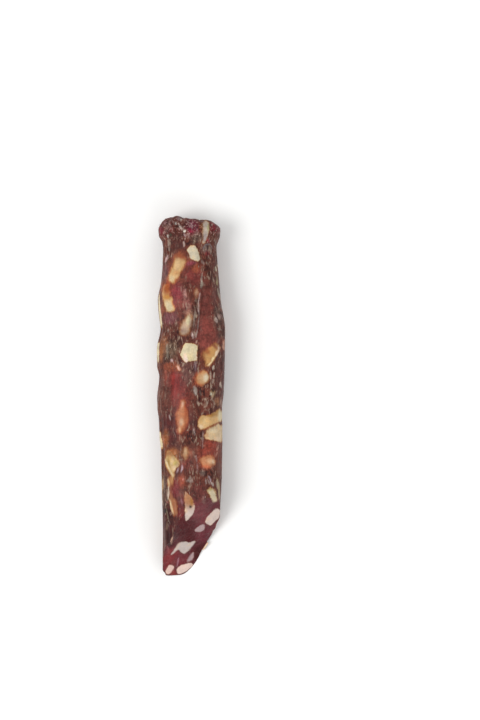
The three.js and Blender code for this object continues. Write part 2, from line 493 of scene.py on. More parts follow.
    @property
    def cut_normal(self) -> Array:
        """Unit vector that points out of the cut face."""
        normal = np.array([self.cut_slope_x, -1.0, self.cut_slope_z])
        return normal / np.linalg.norm(normal)

    def cut_y(self, x: Array, z: Array) -> Array:
        """Where the flat of the cut lies along Y at x, z."""
        dx, dz = x - self.cut_centre[0], z - self.cut_centre[2]
        return self.cut_middle_y + self.cut_slope_x * dx + self.cut_slope_z * dz

    def cut_stray(self, angle: Array) -> Array:
        """How far the cut's rim strays from flat along Y, at each angle."""
        degrees = np.degrees(angle)
        return sum(
            by * bell(((degrees - at + 180) % 360 - 180) / reach)
            for at, reach, by in self.cut_strays
        )

    def cut_rim(self, angle: Array) -> Array:
        """Points where the casing meets the cut, one for each angle."""
        rim = self.casing(angle, np.full_like(angle, self.cut_middle_y))
        for _ in range(self.rim_steps):
            rim = self.casing(angle, self.cut_y(rim[..., 0], rim[..., 2]) + self.cut_stray(angle))
        return rim

    def cut_face(self, angle: Array, rim: Array, share: float) -> Array:
        """Ring of points on the cut face.

        Args:
            angle: Angles about the link.
            rim: Points of the cut's rim at those angles.
            share: How far the ring is from the centre (0) to the rim (1).

        Returns:
            A point for each angle.
        """
        ring = self.cut_centre + (rim - self.cut_centre) * share
        ring[:, 1] = self.cut_y(ring[:, 0], ring[:, 2]) + self.cut_stray(angle) * share**4
        mounds = sum(mound.height(ring[:, 0], ring[:, 1]) for mound in self.cut_fat)
        turns = (ring[:, 0] + self.cut_span / 2) / self.cut_span
        grain = sum(ripple.height(turns, ring[:, 1]) for ripple in self.cut_grain)
        rise = mounds * (1 - share**6) - self.cut_dish * (1 - share**2) + grain * (1 - share**12)
        return ring + rise[:, None] * self.cut_normal

    def blunt_end(self, angle: Array, share: float) -> Array:
        """Ring of points on the blunt end.

        Args:
            angle: Angles about the link.
            share: How far the ring is from the middle (0) to the lip (1).

        Returns:
            A point for each angle.
        """
        lip_y = np.full_like(angle, self.lip_y)
        middle = self.section(lip_y)
        centre = np.stack([middle.x, lip_y, middle.z], axis=-1)
        ring = centre + (self.casing(angle, lip_y) - centre) * share
        crown = 1 - share**self.end_corner
        at, reach, rise = self.shoulder
        led = self.uneven_angle(angle)
        folds = self.face_fold * share * sum(wave.height(led, lip_y) for wave in self.puckers)
        ring[:, 1] += crown * (self.end_bulge + rise * bell((ring[:, 0] - at) / reach) + folds)
        ring[:, 1] -= self.end_fall * (ring[:, 0] - middle.x) * (1 - share**4)
        ring[:, 1] -= self.dimple[1] * bell(share / self.dimple[0])
        turns, girth = led / math.tau, self.face_girth * share + 0 * angle
        knots = sum(ripple.height(turns, girth) for ripple in self.face_knots)
        ring[:, 1] -= crown * share * self.face_knot_depth * crinkle(knots)
        return ring


class Surface(Enum):
    """The two finishes of the one piece, in the order of its material slots."""

    CASING = 0
    CUT = 1


class Layer(Enum):
    """What a tone is laid over."""

    LEAN = "lean_tint"
    FAT = "fat_tint"
    ALL = "both"


@dataclass(frozen=True)
class FatPiece:
    """A piece of fat, as its outline in millimetres seen from above."""

    name: str
    corners: tuple[Point, ...]
    colour: Colour
    soft: float = 0.35
    corner_cut: float = 0.24

    def rounded(self) -> Array:
        """Outline with its corners cut twice, which rounds them."""
        ring = np.array(self.corners, float)
        for _ in range(2):
            after = np.roll(ring, -1, axis=0)
            near = ring + (after - ring) * self.corner_cut
            far = after + (ring - after) * self.corner_cut
            ring = np.stack([near, far], axis=1).reshape(-1, 2)
        return ring

    def distance(self, x: Array, y: Array) -> Array:
        """Distance to the outline, worked out only near the piece.

        Args:
            x: Places from side to side.
            y: Places along the link.

        Returns:
            The distance, above 0 inside and below 0 outside.
        """
        ring = self.rounded()
        low, high = ring.min(axis=0) - FAR, ring.max(axis=0) + FAR
        near = (x > low[0]) & (x < high[0]) & (y > low[1]) & (y < high[1])
        px, py = x[near], y[near]
        gap, inside = np.full(px.shape, FAR), np.zeros(px.shape, bool)
        for (ax, ay), (bx, by) in zip(ring, np.roll(ring, -1, axis=0)):
            rx, ry = bx - ax, by - ay
            t = np.clip(((px - ax) * rx + (py - ay) * ry) / (rx * rx + ry * ry), 0, 1)
            gap = np.minimum(gap, np.hypot(px - ax - t * rx, py - ay - t * ry))
            if ay != by:
                inside ^= ((ay > py) != (by > py)) & (px < ax + (py - ay) * rx / ry)
        result = np.full(x.shape, -FAR)
        result[near] = np.where(inside, gap, -gap)
        return result


@dataclass(frozen=True)
class Tone:
    """A soft oval of colour: centre, half sizes and the turn of its long side from Y to -X."""

    x: float
    y: float
    wide: float
    long: float
    colour: Colour
    strength: float = 0.8
    turn: float = 0.0
    layer: Layer = Layer.LEAN
    outer: float = 1.6
    slope: float = 1.2

    def weight(self, x: Array, y: Array) -> Array:
        """How much of the tone shows at each place."""
        return self.strength * ease((self.outer - oval_reach(self, x, y)) / self.slope)


@dataclass(frozen=True)
class Streak:
    """A thin line of colour from place to place, as bloom in a crease; some are painted highlights.
    """

    start: Point
    end: Point
    width: float
    colour: Colour
    strength: float = 0.8
    edge: float = 0.8

    def weight(self, x: Array, y: Array) -> Array:
        """How much of the streak shows at each place."""
        start, end = np.array(self.start, float), np.array(self.end, float)
        run = end - start
        t = np.clip(((x - start[0]) * run[0] + (y - start[1]) * run[1]) / (run @ run), 0, 1)
        gap = np.hypot(x - start[0] - t * run[0], y - start[1] - t * run[1])
        taper = 1 - 0.5 * np.abs(2 * t - 1) ** 2
        return self.strength * ease((self.width * taper - gap) / (self.edge * self.width) + 0.5)


@dataclass(frozen=True)
class RoundPiece:
    """A soft oval on a side or the underside, set by an angle in degrees and a y."""

    angle: float
    y: float
    wide: float
    long: float
    slant: float
    colour: Colour
    soft: float
    girth: float = 19.0
    corner: float = 2.6

    def distance(self, angle: Array, y: Array) -> Array:
        """Distance to the oval's edge.

        Args:
            angle: Angles about the link.
            y: Places along the link.

        Returns:
            The distance, above 0 inside and below 0 outside.
        """
        turned = angle - math.radians(self.angle)
        arc = ((turned + math.pi) % math.tau - math.pi) * self.girth
        down = y - self.y
        across = np.abs(arc - self.slant * down) / self.wide
        lengthwise = np.abs(down) / self.long
        reach = (across**self.corner + lengthwise**self.corner) ** (1 / self.corner)
        return (1 - reach) * self.wide


def tones(*rows: tuple, layer: Layer = Layer.LEAN) -> tuple[Tone, ...]:
    """Makes tones of rows.

    Args:
        rows: The x, y, half width, half length, colour, strength and, if any, turn of each.
        layer: What the tones are laid over.

    Returns:
        The tones, in the order of the rows.
    """
    return tuple(Tone(*row[:6], turn=row[6] if len(row) > 6 else 0.0, layer=layer) for row in rows)


def streaks(*rows: tuple) -> tuple[Streak, ...]:
    """Makes streaks of rows: x and y of the start and end, width, colour and strength."""
    return tuple(Streak(row[:2], row[2:4], *row[4:]) for row in rows)


CREAM = (206, 190, 157)
PALE = (192, 181, 158)
BUTTER = (194, 158, 112)
OCHRE = (184, 141, 92)
AMBER = (178, 116, 78)
RUST = (150, 84, 60)
LEAN = (96, 56, 48)
RED_LEAN = (129, 67, 60)
BURGUNDY = (104, 58, 53)
DARK_LEAN = (80, 48, 44)
UMBER = (50, 30, 26)
BLOOM = (170, 149, 130)
PINK_WHITE = (208, 189, 179)
LILAC = (176, 152, 152)
CUT_LEAN = (100, 54, 58)
CUT_PURPLE_AND_SHEEN = (116, 62, 66)
# Purple of the cut: the lean's own colour with a painted sheen of the wet face
CUT_CRIMSON = (132, 55, 57)
CUT_DARK = (80, 34, 38)

# The two ends of the bloom's scale, for the tones that raise or lower it
DUSTY, CLEAN = (1, 1, 1), (0, 0, 0)


# Pieces of fat seen from above, from the blunt end down to the tip of the cut
FAT_PIECES = (
    FatPiece("end_strip", (
        (6.8, 111.4), (8.8, 112.2), (11, 111), (11.9, 108), (11.7, 105), (10.6, 102.2),
        (9.1, 98.9), (7.4, 97.3), (6.6, 98.8), (7.8, 100.6), (7, 103), (7.3, 105.9), (7.7, 108.4),
        (6.9, 110.2)), (176, 160, 146), 0.8),
    FatPiece("white_top", (
        (-0.7, 96.3), (1, 97.2), (2.9, 96.1), (4.2, 94.1), (4.9, 91.2), (6, 88.7), (4.7, 86.3),
        (1.5, 87.2), (-1, 88), (-1.7, 90.7), (-2.8, 93.1), (-2.3, 95)), PALE, 0.5),
    FatPiece("long_amber", (
        (-9.6, 90.6), (-6.6, 91.2), (-4.3, 89.4), (-3.8, 86), (-4.9, 82.2), (-7.4, 78.2),
        (-9.4, 74.4), (-11, 72.2), (-13.2, 72.6), (-15.3, 75.6), (-14.4, 78.4), (-12.3, 81),
        (-11.5, 85.3), (-10.7, 88.6)), BUTTER, 1.3),
    FatPiece("left_amber", (
        (-17.7, 71.6), (-15.5, 71), (-13.9, 68.2), (-13.1, 64.2), (-11.6, 61.4), (-10.7, 58.2),
        (-11.2, 54.3), (-13.6, 53.8), (-16.1, 53.9), (-17.1, 57.4), (-18.3, 62.2), (-18.8, 67.4)
    ), BUTTER, 0.9, corner_cut=0.2),
    FatPiece("small_spot", (
        (1.7, 67.6), (3.2, 68.8), (4.5, 68), (4.4, 65), (3.3, 62.4), (2.2, 64.4)
    ), (158, 124, 104), 1.3),
    FatPiece("faded", (
        (-1.1, 53.4), (0.5, 51.8), (0.6, 45.4), (-0.9, 41.2), (-4.3, 38.4), (-7, 39.8),
        (-7.7, 44), (-6.1, 47), (-3.5, 49.8)), (177, 150, 127), 1.6),
    FatPiece("square", (
        (-4, 33.8), (0, 33.5), (3.7, 33.6), (3.9, 28), (3.8, 22.9), (1.2, 22.9), (-1.1, 22.8),
        (-3.3, 21.9), (-5.4, 23), (-6.9, 27), (-5.9, 30.2)
    ), (204, 191, 158), 0.5, corner_cut=0.12),
    FatPiece("wedge", (
        (6.9, 26.4), (8.6, 29.4), (12, 31.6), (15.4, 34), (17.8, 33), (18.5, 30.4), (16.6, 27.6),
        (14.9, 24.2), (12.5, 20.8), (10.5, 18.6), (8.6, 20.4), (7.3, 23.4)), OCHRE, 1.5),
    FatPiece("half_moon", (
        (3.4, 12.2), (5.2, 15), (7.6, 17), (9.4, 15.4), (10.2, 13.8), (11.4, 12.6), (11.1, 10.8),
        (9.8, 8.8), (7.8, 7.2), (6.2, 5.2), (4.4, 7.6)), (182, 136, 98), 1.3, corner_cut=0.2),
    FatPiece("pink_fleck", (
        (-9.5, 19.2), (-8, 20), (-6.6, 18.5), (-6.8, 16.4), (-8.7, 16.2)
    ), (210, 166, 150), 0.9),
    FatPiece("tall_orange", (
        (-7, -3.4), (-4.2, -3.2), (-4.2, -6.5), (-2.4, -10.7), (-1.8, -15), (-3.1, -18.8),
        (-4.9, -21.2), (-6.4, -24), (-8.4, -23.6), (-9.6, -17), (-9.8, -11.4), (-7.7, -7.2)
    ), (174, 114, 82), 1.5),
    FatPiece("upper_slab", (
        (4, -18.9), (4, -15.4), (6.2, -12.9), (10.4, -12.2), (13.6, -10.7), (16.8, -8.2),
        (18.6, -8.8), (20.2, -11.6), (20.4, -15.4), (17.6, -17.2), (14.7, -18), (11.9, -19.2),
        (8.3, -20.9), (5.2, -21.6)), BUTTER, 0.8),
    FatPiece("lower_slab", (
        (9, -22.2), (11.2, -20.4), (14.7, -19), (18.3, -17.6), (20.2, -19.6), (20.6, -23.6),
        (20, -28), (18.3, -30.4), (15.4, -28.8), (12.6, -27.8), (9.4, -27.8), (8.6, -25.2)
    ), (200, 175, 140), 0.8),
    FatPiece("square_orange", (
        (5.8, -39.8), (8.4, -38.2), (11.6, -38.4), (14.9, -38.2), (15.3, -43.4), (12.6, -44.6),
        (10.7, -46.6), (8.4, -45.8), (6.2, -43.6)), (184, 126, 92), 1.4),
    FatPiece("olive_seed", (
        (-5, -32), (-2.8, -31.8), (-1.5, -35.6), (-2.2, -39.4), (-4.1, -41.8), (-5.6, -39),
        (-6, -35.6)), (160, 120, 90), 1.6),
    FatPiece("left_yellow", (
        (-15.5, -34.8), (-13.1, -35.6), (-11.1, -37.8), (-9.2, -39.8), (-7.4, -43.2),
        (-7.9, -45.4), (-9.9, -46.2), (-10.9, -48.4), (-11.4, -51.6), (-12.7, -52.2),
        (-14.7, -48.2), (-16.3, -44.2), (-17, -41.2), (-16.5, -37.6)
    ), (182, 150, 103), 0.7, corner_cut=0.2),
    FatPiece("left_stripe", (
        (-15.3, -51.6), (-13, -51.4), (-10.7, -52.8), (-11.6, -56), (-12.8, -60), (-12.2, -64.6),
        (-9.6, -66.5), (-8.7, -72), (-9.6, -76.2), (-11.5, -77), (-13.2, -71.4), (-14.4, -65),
        (-15.2, -58)), (154, 102, 70), 0.9),
    FatPiece("cut_crown", (
        (-4, -60.2), (-2, -61.6), (-0.2, -64.2), (1.9, -66.9), (2.3, -70.1), (1.5, -73.3),
        (0.5, -76.2), (-1.6, -78.7), (-3.5, -80.5), (-4.5, -79), (-4.2, -74), (-3.9, -70.5),
        (-4.5, -66.9), (-4.6, -63.4)), PINK_WHITE, 0.5, corner_cut=0.2),
    FatPiece("right_olive", (
        (10.4, -59.2), (12.4, -57.6), (14.9, -59.6), (15.9, -62.6), (16.4, -67.4), (13.3, -67.9),
        (12.2, -64.2), (10.8, -61.8)), (202, 187, 157), 0.8),
    FatPiece("cut_right", (
        (16.5, -71.4), (18.4, -72.4), (18.6, -76.6), (14.8, -80.8), (12, -83.1), (9, -81.8),
        (8.6, -79.4), (11.2, -75.5), (13.9, -72.7)), PINK_WHITE, 0.35),
    FatPiece("cut_centre", (
        (5, -82.7), (8.5, -82.4), (8.3, -85.8), (6.2, -87.2), (2.7, -87.1), (2.2, -85.8)
    ), LILAC, 0.45),
    FatPiece("cut_large", (
        (2.9, -91.6), (1.8, -94.7), (-0.8, -97.9), (-3, -100.8), (-4.8, -101.6), (-7.2, -100),
        (-8.2, -98.4), (-9.8, -99.4), (-12.9, -102.4), (-13.3, -101.6), (-11, -97.8),
        (-8.6, -94.8), (-4.6, -92.8), (-3.2, -92.6), (-2, -93.8)), (196, 182, 176), 0.5),
    FatPiece("cut_thin", (
        (1.9, -100), (1.2, -103.2), (-0.5, -105.5), (-3.6, -106.3), (-2.1, -103.5),
        (-0.2, -101.3)), (170, 146, 148), 0.6),
    FatPiece("cut_tip_right", (
        (-9.9, -111.7), (-7.2, -108.9), (-3.4, -107.3), (-0.5, -106.9), (1.5, -108.5),
        (-1.4, -111.5), (-5.3, -113.9), (-8.5, -113.8)), (222, 197, 186), 0.4),
    FatPiece("cut_tip_left", (
        (-15, -108.6), (-11.7, -108.6), (-10.6, -110.4), (-13, -112.1), (-14.4, -113.9),
        (-16.7, -112.5)), (231, 198, 186), 0.4),
)

# Low on the sides, where they carry on from what shows at the side edges
SIDE_PIECES = (
    RoundPiece(167, 55, 3.3, 10.4, 0.05, CREAM, 0.5),
    RoundPiece(165, 28, 3.3, 6.2, -0.06, CREAM, 0.5),
    RoundPiece(165, -28.6, 3.1, 5.4, 0.08, CREAM, 0.5),
    RoundPiece(14, 32.4, 3.3, 3.6, 0.1, (176, 124, 102), 0.8),
    RoundPiece(22, -60, 2.4, 6.6, 0.35, (150, 128, 100), 0.7),
    RoundPiece(168, -60, 2.2, 7, 0.05, (128, 96, 68), 0.9),
)

# On the blunt end's face, which isn't seen from above: each place is an x and a height
FACE_FAT = (
    FatPiece("face_left", (
        (-10.6, 10), (-8, 12.6), (-5, 12), (-4.4, 9.4), (-6.4, 7), (-9.6, 7.2)), OCHRE, 0.9),
    FatPiece("face_right", (
        (5.6, 20.4), (8.2, 21.6), (10.4, 19.6), (9.6, 16.4), (7, 15.4), (5.4, 17.6)
    ), (186, 162, 140), 0.8),
    FatPiece("face_top", (
        (0.6, 24), (3.4, 25.2), (5, 23.4), (4, 21.4), (1.4, 21.2)), (168, 138, 116), 1.0),
    FatPiece("face_low", (
        (4.4, 8.2), (7.4, 9), (9.6, 7.6), (8.4, 5.6), (5.4, 5.4)), CREAM, 0.7),
)
FACE_TONES = tones(
    (-9, 18.5, 4.6, 5, (112, 42, 52), 0.85), (3, 13, 4.4, 4, (116, 52, 52), 0.8),
    (12, 12, 4, 5, (80, 44, 42), 0.8), (0, 22, 4, 4, (84, 46, 44), 0.8),
    (-6, 9, 5, 5, (134, 72, 52), 0.75),
)

# Colours of the lean, from the blunt end down and then on the cut face, with some painted shade
# and sheen among them: x, y, half width, half length, colour, strength and, if any, turn
LEAN_TONES = tones(
    (-16, 107.5, 5, 6, (88, 44, 42), 0.85), (-19.6, 106, 1.6, 2.4, (112, 34, 46), 0.9),
    (-16.8, 111.6, 1.6, 1.2, (116, 78, 84), 0.8), (-7.4, 113.2, 1.8, 1.1, (150, 122, 126), 0.6),
    (1, 108.6, 4, 4.4, (104, 44, 58), 0.9), (-0.1, 105.6, 2, 1.6, (122, 26, 54), 0.9),
    (15.5, 108.6, 3.6, 3.6, (114, 42, 50), 0.9), (6.4, 108.6, 1, 1.8, (118, 70, 42), 0.9),
    (10.8, 99.1, 1.2, 0.9, (142, 52, 62), 0.9), (3.4, 101.6, 4, 3, (92, 76, 68), 0.7),
    (9, 94.4, 2.2, 2.4, (98, 88, 86), 0.6), (10.6, 91, 1.6, 1.8, (122, 54, 56), 0.8),
    (-13.4, 103.2, 1, 0.9, (54, 64, 50), 0.9), (-8.6, 98.4, 4.4, 6, (78, 44, 40), 0.95),
    (-11, 92, 5, 6, (78, 45, 40), 0.8), (-7.5, 88.8, 5, 3.6, (134, 74, 58), 0.85),
    (-9.8, 80.5, 6, 11, (128, 68, 54), 0.6, -24), (1, 77.6, 5.6, 6.6, (116, 57, 54), 0.9),
    (2.9, 81.8, 2.4, 2.8, (136, 74, 54), 0.8), (-0.6, 85.2, 3.4, 1.2, (136, 66, 76), 0.8),
    (-16.6, 79, 2.4, 6, (104, 70, 74), 0.6), (-15.6, 69, 4, 4.6, (150, 76, 48), 0.85, 14),
    (-9.6, 65, 4.4, 7, (124, 56, 62), 0.85), (-8, 57, 3.4, 6, (118, 62, 54), 0.7),
    (9.6, 60, 6, 12, (106, 59, 54), 0.95), (-13.6, 50, 4.6, 4, (112, 68, 72), 0.85),
    (-18.6, 54.5, 1.2, 5, (130, 76, 60), 0.8), (-4.1, 64.6, 1.1, 3.4, (160, 116, 108), 0.85),
    (-2.4, 58, 2.5, 3.8, (138, 86, 80), 0.85), (-1.6, 53.8, 2.2, 1.8, (166, 120, 102), 0.85),
    (2.3, 46, 2, 9.5, (74, 58, 51), 0.85), (3.4, 60, 0.9, 6, (66, 42, 36), 0.85),
    (9.9, 39, 7, 10.5, (127, 68, 62), 0.95), (17.4, 50.6, 3.2, 6.5, (106, 80, 72), 0.85),
    (18.2, 50.4, 1.2, 1.4, (144, 118, 112), 0.8), (19.4, 57.4, 1.1, 1.8, (120, 102, 102), 0.8),
    (18.5, 42, 3, 5, (84, 50, 44), 0.8), (-7.6, 37.4, 4, 4, (80, 46, 42), 0.85),
    (-17.4, 33, 2.4, 5, (150, 96, 68), 0.8), (-19.3, 28.6, 1.2, 6, (142, 88, 56), 0.95),
    (-13, 29, 4.6, 6.6, (98, 80, 66), 0.8, -20), (-13, 18.4, 4.4, 2.8, (150, 78, 54), 0.85),
    (-1.6, 15, 5, 7.6, (104, 72, 67), 0.8), (2.9, 19.6, 1.1, 3.2, (120, 98, 106), 0.75),
    (-8, 0.5, 6, 7.5, (118, 52, 50), 0.9), (-11.2, 9.6, 5.2, 5.4, (124, 50, 48), 0.95),
    # The second oval on the next line darkens the right flank: painted shade
    (5.5, 19, 2, 5, (96, 54, 44), 0.6), (19.5, 13, 4, 17, (92, 56, 52), 0.8),
    (3.6, 11, 2, 5, (140, 72, 52), 0.8, -14), (16.4, -3.6, 1.5, 2.2, (164, 112, 82), 0.85),
    (13.7, 0.8, 1.5, 2, (160, 132, 98), 0.95), (-15, 5, 2, 14, (98, 62, 54), 0.6),
    (-5.9, -12, 5.4, 12.5, (124, 62, 52), 0.85), (-14, -21, 5, 12, (80, 43, 42), 0.95),
    (0.6, -17, 3.2, 7, (82, 48, 44), 0.9), (-16.6, -27, 2.2, 5, (148, 88, 56), 0.85),
    (12, -33.6, 6, 5.4, (138, 64, 53), 0.95), (9, -40, 6, 6, (134, 68, 58), 0.7),
    (-3.2, -43.4, 4, 5, (116, 64, 58), 0.8), (-0.4, -36.8, 1.5, 2.6, (126, 76, 62), 0.8),
    (7.7, -49.4, 1.8, 1.8, (126, 108, 100), 0.7), (-12.6, -37, 4.4, 3.4, (160, 100, 62), 0.85),
    (-6.6, -54.8, 2.6, 3.8, (138, 66, 48), 0.85), (-10.2, -60, 2.8, 5.4, (108, 45, 46), 0.95),
    (-16.8, -57.4, 1.1, 4.6, (74, 46, 48), 0.85), (-15.6, -65.6, 0.9, 2.6, (112, 114, 104), 0.8),
    (8.4, -66, 0.9, 3.4, (126, 98, 94), 0.7), (-6.8, -73, 2, 8, (102, 34, 34), 1.0),
    (-17, -62, 2.6, 11, (96, 72, 62), 0.8), (-14, -83, 4.2, 13, (66, 35, 31), 0.95, 8),
    # The second oval on the next line darkens the right edge low down: painted shade
    (-14.6, -91, 2.2, 5.6, (58, 28, 26), 0.9), (18.6, -42, 2.8, 9, (100, 48, 20), 0.95),
    # The purple oval on the next line is the cut lean's colour with a painted sheen
    (5, -64, 5, 8, (102, 58, 56), 0.7), (6, -75, 8, 5.5, CUT_PURPLE_AND_SHEEN, 0.95, -50),
    (-3.5, -87, 9.5, 6.5, CUT_DARK, 0.95, -60), (8.8, -90, 6, 5, (104, 48, 56), 0.9, -50),
    (-13.5, -104, 4.5, 6.5, CUT_CRIMSON, 0.95, -30), (-6.5, -105, 4, 4, (116, 54, 60), 0.8),
    # The second, darkest oval on the next line is painted shade low at the right of the cut, by the
    # casing
    (1.2, -97.5, 4.5, 4, (88, 44, 48), 0.8, -40), (4.5, -99.5, 3, 6, (72, 36, 36), 0.85, -35),
    (-11.5, -113.4, 3.4, 1.6, (138, 62, 60), 0.9, -60),
)

# Colours inside pieces of fat
FAT_TONES = tones(
    (-6.6, 89.6, 4.4, 2.6, (134, 70, 50), 0.95), (-8.6, 84.4, 1.5, 3, (200, 166, 122), 0.9, -10),
    (-12.8, 75.2, 1.8, 2.2, (203, 178, 139), 0.95), (-9.8, 73, 1, 2.2, (196, 118, 74), 0.8),
    (-9.6, 79.2, 1.7, 1.6, (188, 136, 88), 0.8, -24),
    (-15.2, 68.8, 3.2, 3.6, (150, 78, 46), 0.95), (-15, 63.6, 2.8, 1.8, (172, 116, 58), 0.85),
    (-14.8, 57.2, 2.8, 3.4, (197, 181, 149), 0.95, 8),
    (-11.2, 58.6, 0.9, 2.6, (184, 122, 76), 0.85, 8), (-2.2, 48, 1.2, 2.8, (200, 186, 150), 0.95),
    (-0.2, 45, 0.8, 3.6, (162, 138, 128), 0.8), (-5.6, 42.2, 1, 1, (134, 98, 94), 0.85),
    (-3.8, 40.8, 2.6, 2, (150, 124, 107), 0.8), (3.5, 64.2, 1.2, 1.6, (132, 88, 72), 0.9),
    (-0.4, 24.5, 2, 1.4, (222, 202, 150), 0.6), (-3.8, 24.4, 1.2, 2.6, (218, 192, 178), 0.8),
    (4, 25, 0.8, 2, (216, 190, 174), 0.7), (9.6, 28.8, 2.6, 1.6, (146, 86, 56), 0.85, -40),
    (7.6, 25, 1.7, 3.6, (148, 98, 64), 0.9), (14.8, 32.4, 3, 1.2, (146, 84, 60), 0.85, -50),
    (10.4, 20, 1.1, 0.9, (208, 176, 134), 0.7), (18.2, 30.7, 1.1, 1.7, PINK_WHITE, 0.85),
    (7.4, 11.2, 1.8, 2.6, (200, 164, 124), 0.85), (9.6, 11.3, 1.8, 2.6, (204, 190, 164), 0.95),
    (5.9, 6.4, 1.2, 1.6, (164, 94, 64), 0.8), (-5.8, -5.8, 1, 1.8, (192, 152, 130), 0.9),
    (-5.9, -17, 1.2, 2, (192, 158, 130), 0.9), (-7.2, -22, 0.8, 1.8, (196, 158, 122), 0.85),
    (-3.4, -11, 1, 5, (164, 88, 62), 0.7), (-8.7, -15, 0.9, 5, (160, 98, 72), 0.7),
    (12, -11.8, 4.8, 1.5, (162, 116, 60), 0.9), (16.2, -9.6, 1.8, 1.4, (176, 134, 74), 0.85),
    (6.8, -15.2, 1.4, 1.4, (190, 150, 96), 0.8), (8.8, -16.8, 2.4, 1.9, (200, 170, 124), 0.8),
    (5.4, -19.8, 1.8, 1.6, (220, 194, 160), 0.8), (14.6, -16.2, 2, 1.4, (206, 164, 112), 0.6),
    (18.8, -12.8, 1.8, 4, (210, 196, 160), 0.9), (17.4, -22, 1.8, 1.6, (208, 176, 132), 0.6),
    (14.4, -22.4, 2.4, 1.3, (212, 196, 166), 0.8), (9.9, -24.8, 1, 1.8, (184, 140, 104), 0.85),
    (16, -27.8, 2.2, 1.6, (212, 184, 154), 0.85), (12.2, -41.6, 2.4, 1.4, (214, 172, 136), 0.9),
    (14.2, -42, 0.8, 1.3, (224, 194, 162), 0.9), (10.2, -45.4, 2.4, 1.2, (190, 104, 78), 0.7),
    (-14, -36.8, 2.8, 1.9, (148, 98, 66), 0.9), (-3.6, -35.2, 1.2, 2.4, (188, 152, 120), 0.95),
    (-14.2, -43, 0.7, 3, (156, 124, 68), 0.8, 8), (-12.4, -41.6, 1, 2.2, (200, 176, 138), 0.85),
    (-10.4, -42.6, 1.2, 1.6, (178, 160, 92), 0.7), (-8.8, -43.8, 1.2, 1.2, (182, 152, 110), 0.8),
    (-10.6, -46, 1.6, 1.6, (212, 184, 150), 0.8), (-12.2, -54.2, 1.5, 2.6, (166, 124, 84), 0.85),
    (-10.4, -70.6, 1.4, 4.6, (148, 92, 64), 0.8), (-12.6, -61, 1.6, 3.8, (122, 66, 56), 0.9, 8),
    (-2, -65.8, 4, 5.8, (164, 114, 78), 0.95, 12), (0.7, -67.6, 1.1, 2.4, (162, 108, 54), 0.85),
    (-3.8, -73, 1, 2, (206, 176, 142), 0.7), (12.2, -59, 1.8, 1.2, (160, 142, 92), 0.85),
    (10, 106, 1.2, 1.8, (200, 186, 170), 0.8), (8.4, 101, 1.6, 2.4, (158, 144, 142), 0.8),
    (11, 107.4, 0.9, 3, (176, 170, 118), 0.7), (0.6, 96.6, 1.6, 1, (222, 186, 146), 0.8),
    layer=Layer.FAT,
)

# Small pits, dark over lean and fat alike: painted shade for holes in the surface
PAINTED_PIT_SHADE = tones(
    (-0.5, -70.6, 0.8, 0.8, (30, 20, 14), 1.0), (-16.8, -73.6, 1, 1.5, (30, 24, 26), 0.9),
    (10.2, 20.8, 0.45, 0.4, (110, 64, 38), 0.9),
    layer=Layer.ALL,
)

# Where bloom greys the dried skin, and where the skin is left bare of it
BLOOM_TONES = tones(
    (0, 106, 22, 9, DUSTY, 0.85), (-15, 93, 3, 9, DUSTY, 0.85), (0, 98.5, 6, 5, DUSTY, 0.7),
    (10, 90, 6, 10, DUSTY, 0.7), (11, 76, 5, 10, DUSTY, 0.55), (-9.4, 95.6, 4, 7, CLEAN, 0.6),
    (-9.8, 81, 5, 12, CLEAN, 0.8, -24), (1, 78, 5, 7, CLEAN, 0.75),
    (-14, 62, 6, 11, CLEAN, 0.8, 10), (9.6, 60, 5, 12, CLEAN, 0.85), (-2, 57, 3, 7, DUSTY, 0.3),
    (2.4, 46, 2.2, 9, DUSTY, 0.6), (16, 52, 4, 8, DUSTY, 0.8), (-10.5, 35, 5.5, 12, DUSTY, 0.75),
    (-12, 26, 5, 5, DUSTY, 0.9), (9.8, 39, 6.5, 10, CLEAN, 0.85), (-1, 14, 5, 9, DUSTY, 0.75),
    (13, 12, 2, 8, DUSTY, 0.8), (-10.4, 7, 7, 10, CLEAN, 0.85), (9, -1, 7, 8, DUSTY, 0.95),
    (-5.9, -12, 5, 11, CLEAN, 0.75), (-14, -20, 5, 10, CLEAN, 0.45), (0, -26, 7, 5, DUSTY, 0.8),
    (12, -34, 5, 5, CLEAN, 0.8), (12, -51, 7, 5.5, DUSTY, 0.85), (0, -53, 4, 4, DUSTY, 0.7),
    (-8, -62, 4, 12, CLEAN, 0.7), (4, -74, 9, 6, CLEAN, 0.8), (-15, -70, 3, 12, DUSTY, 0.6),
    # The second oval on the next line keeps bloom off the painted shade at the right edge
    (-13.8, -90, 3.4, 9, CLEAN, 0.95), (18.6, -42, 2.4, 8, CLEAN, 0.9),
)
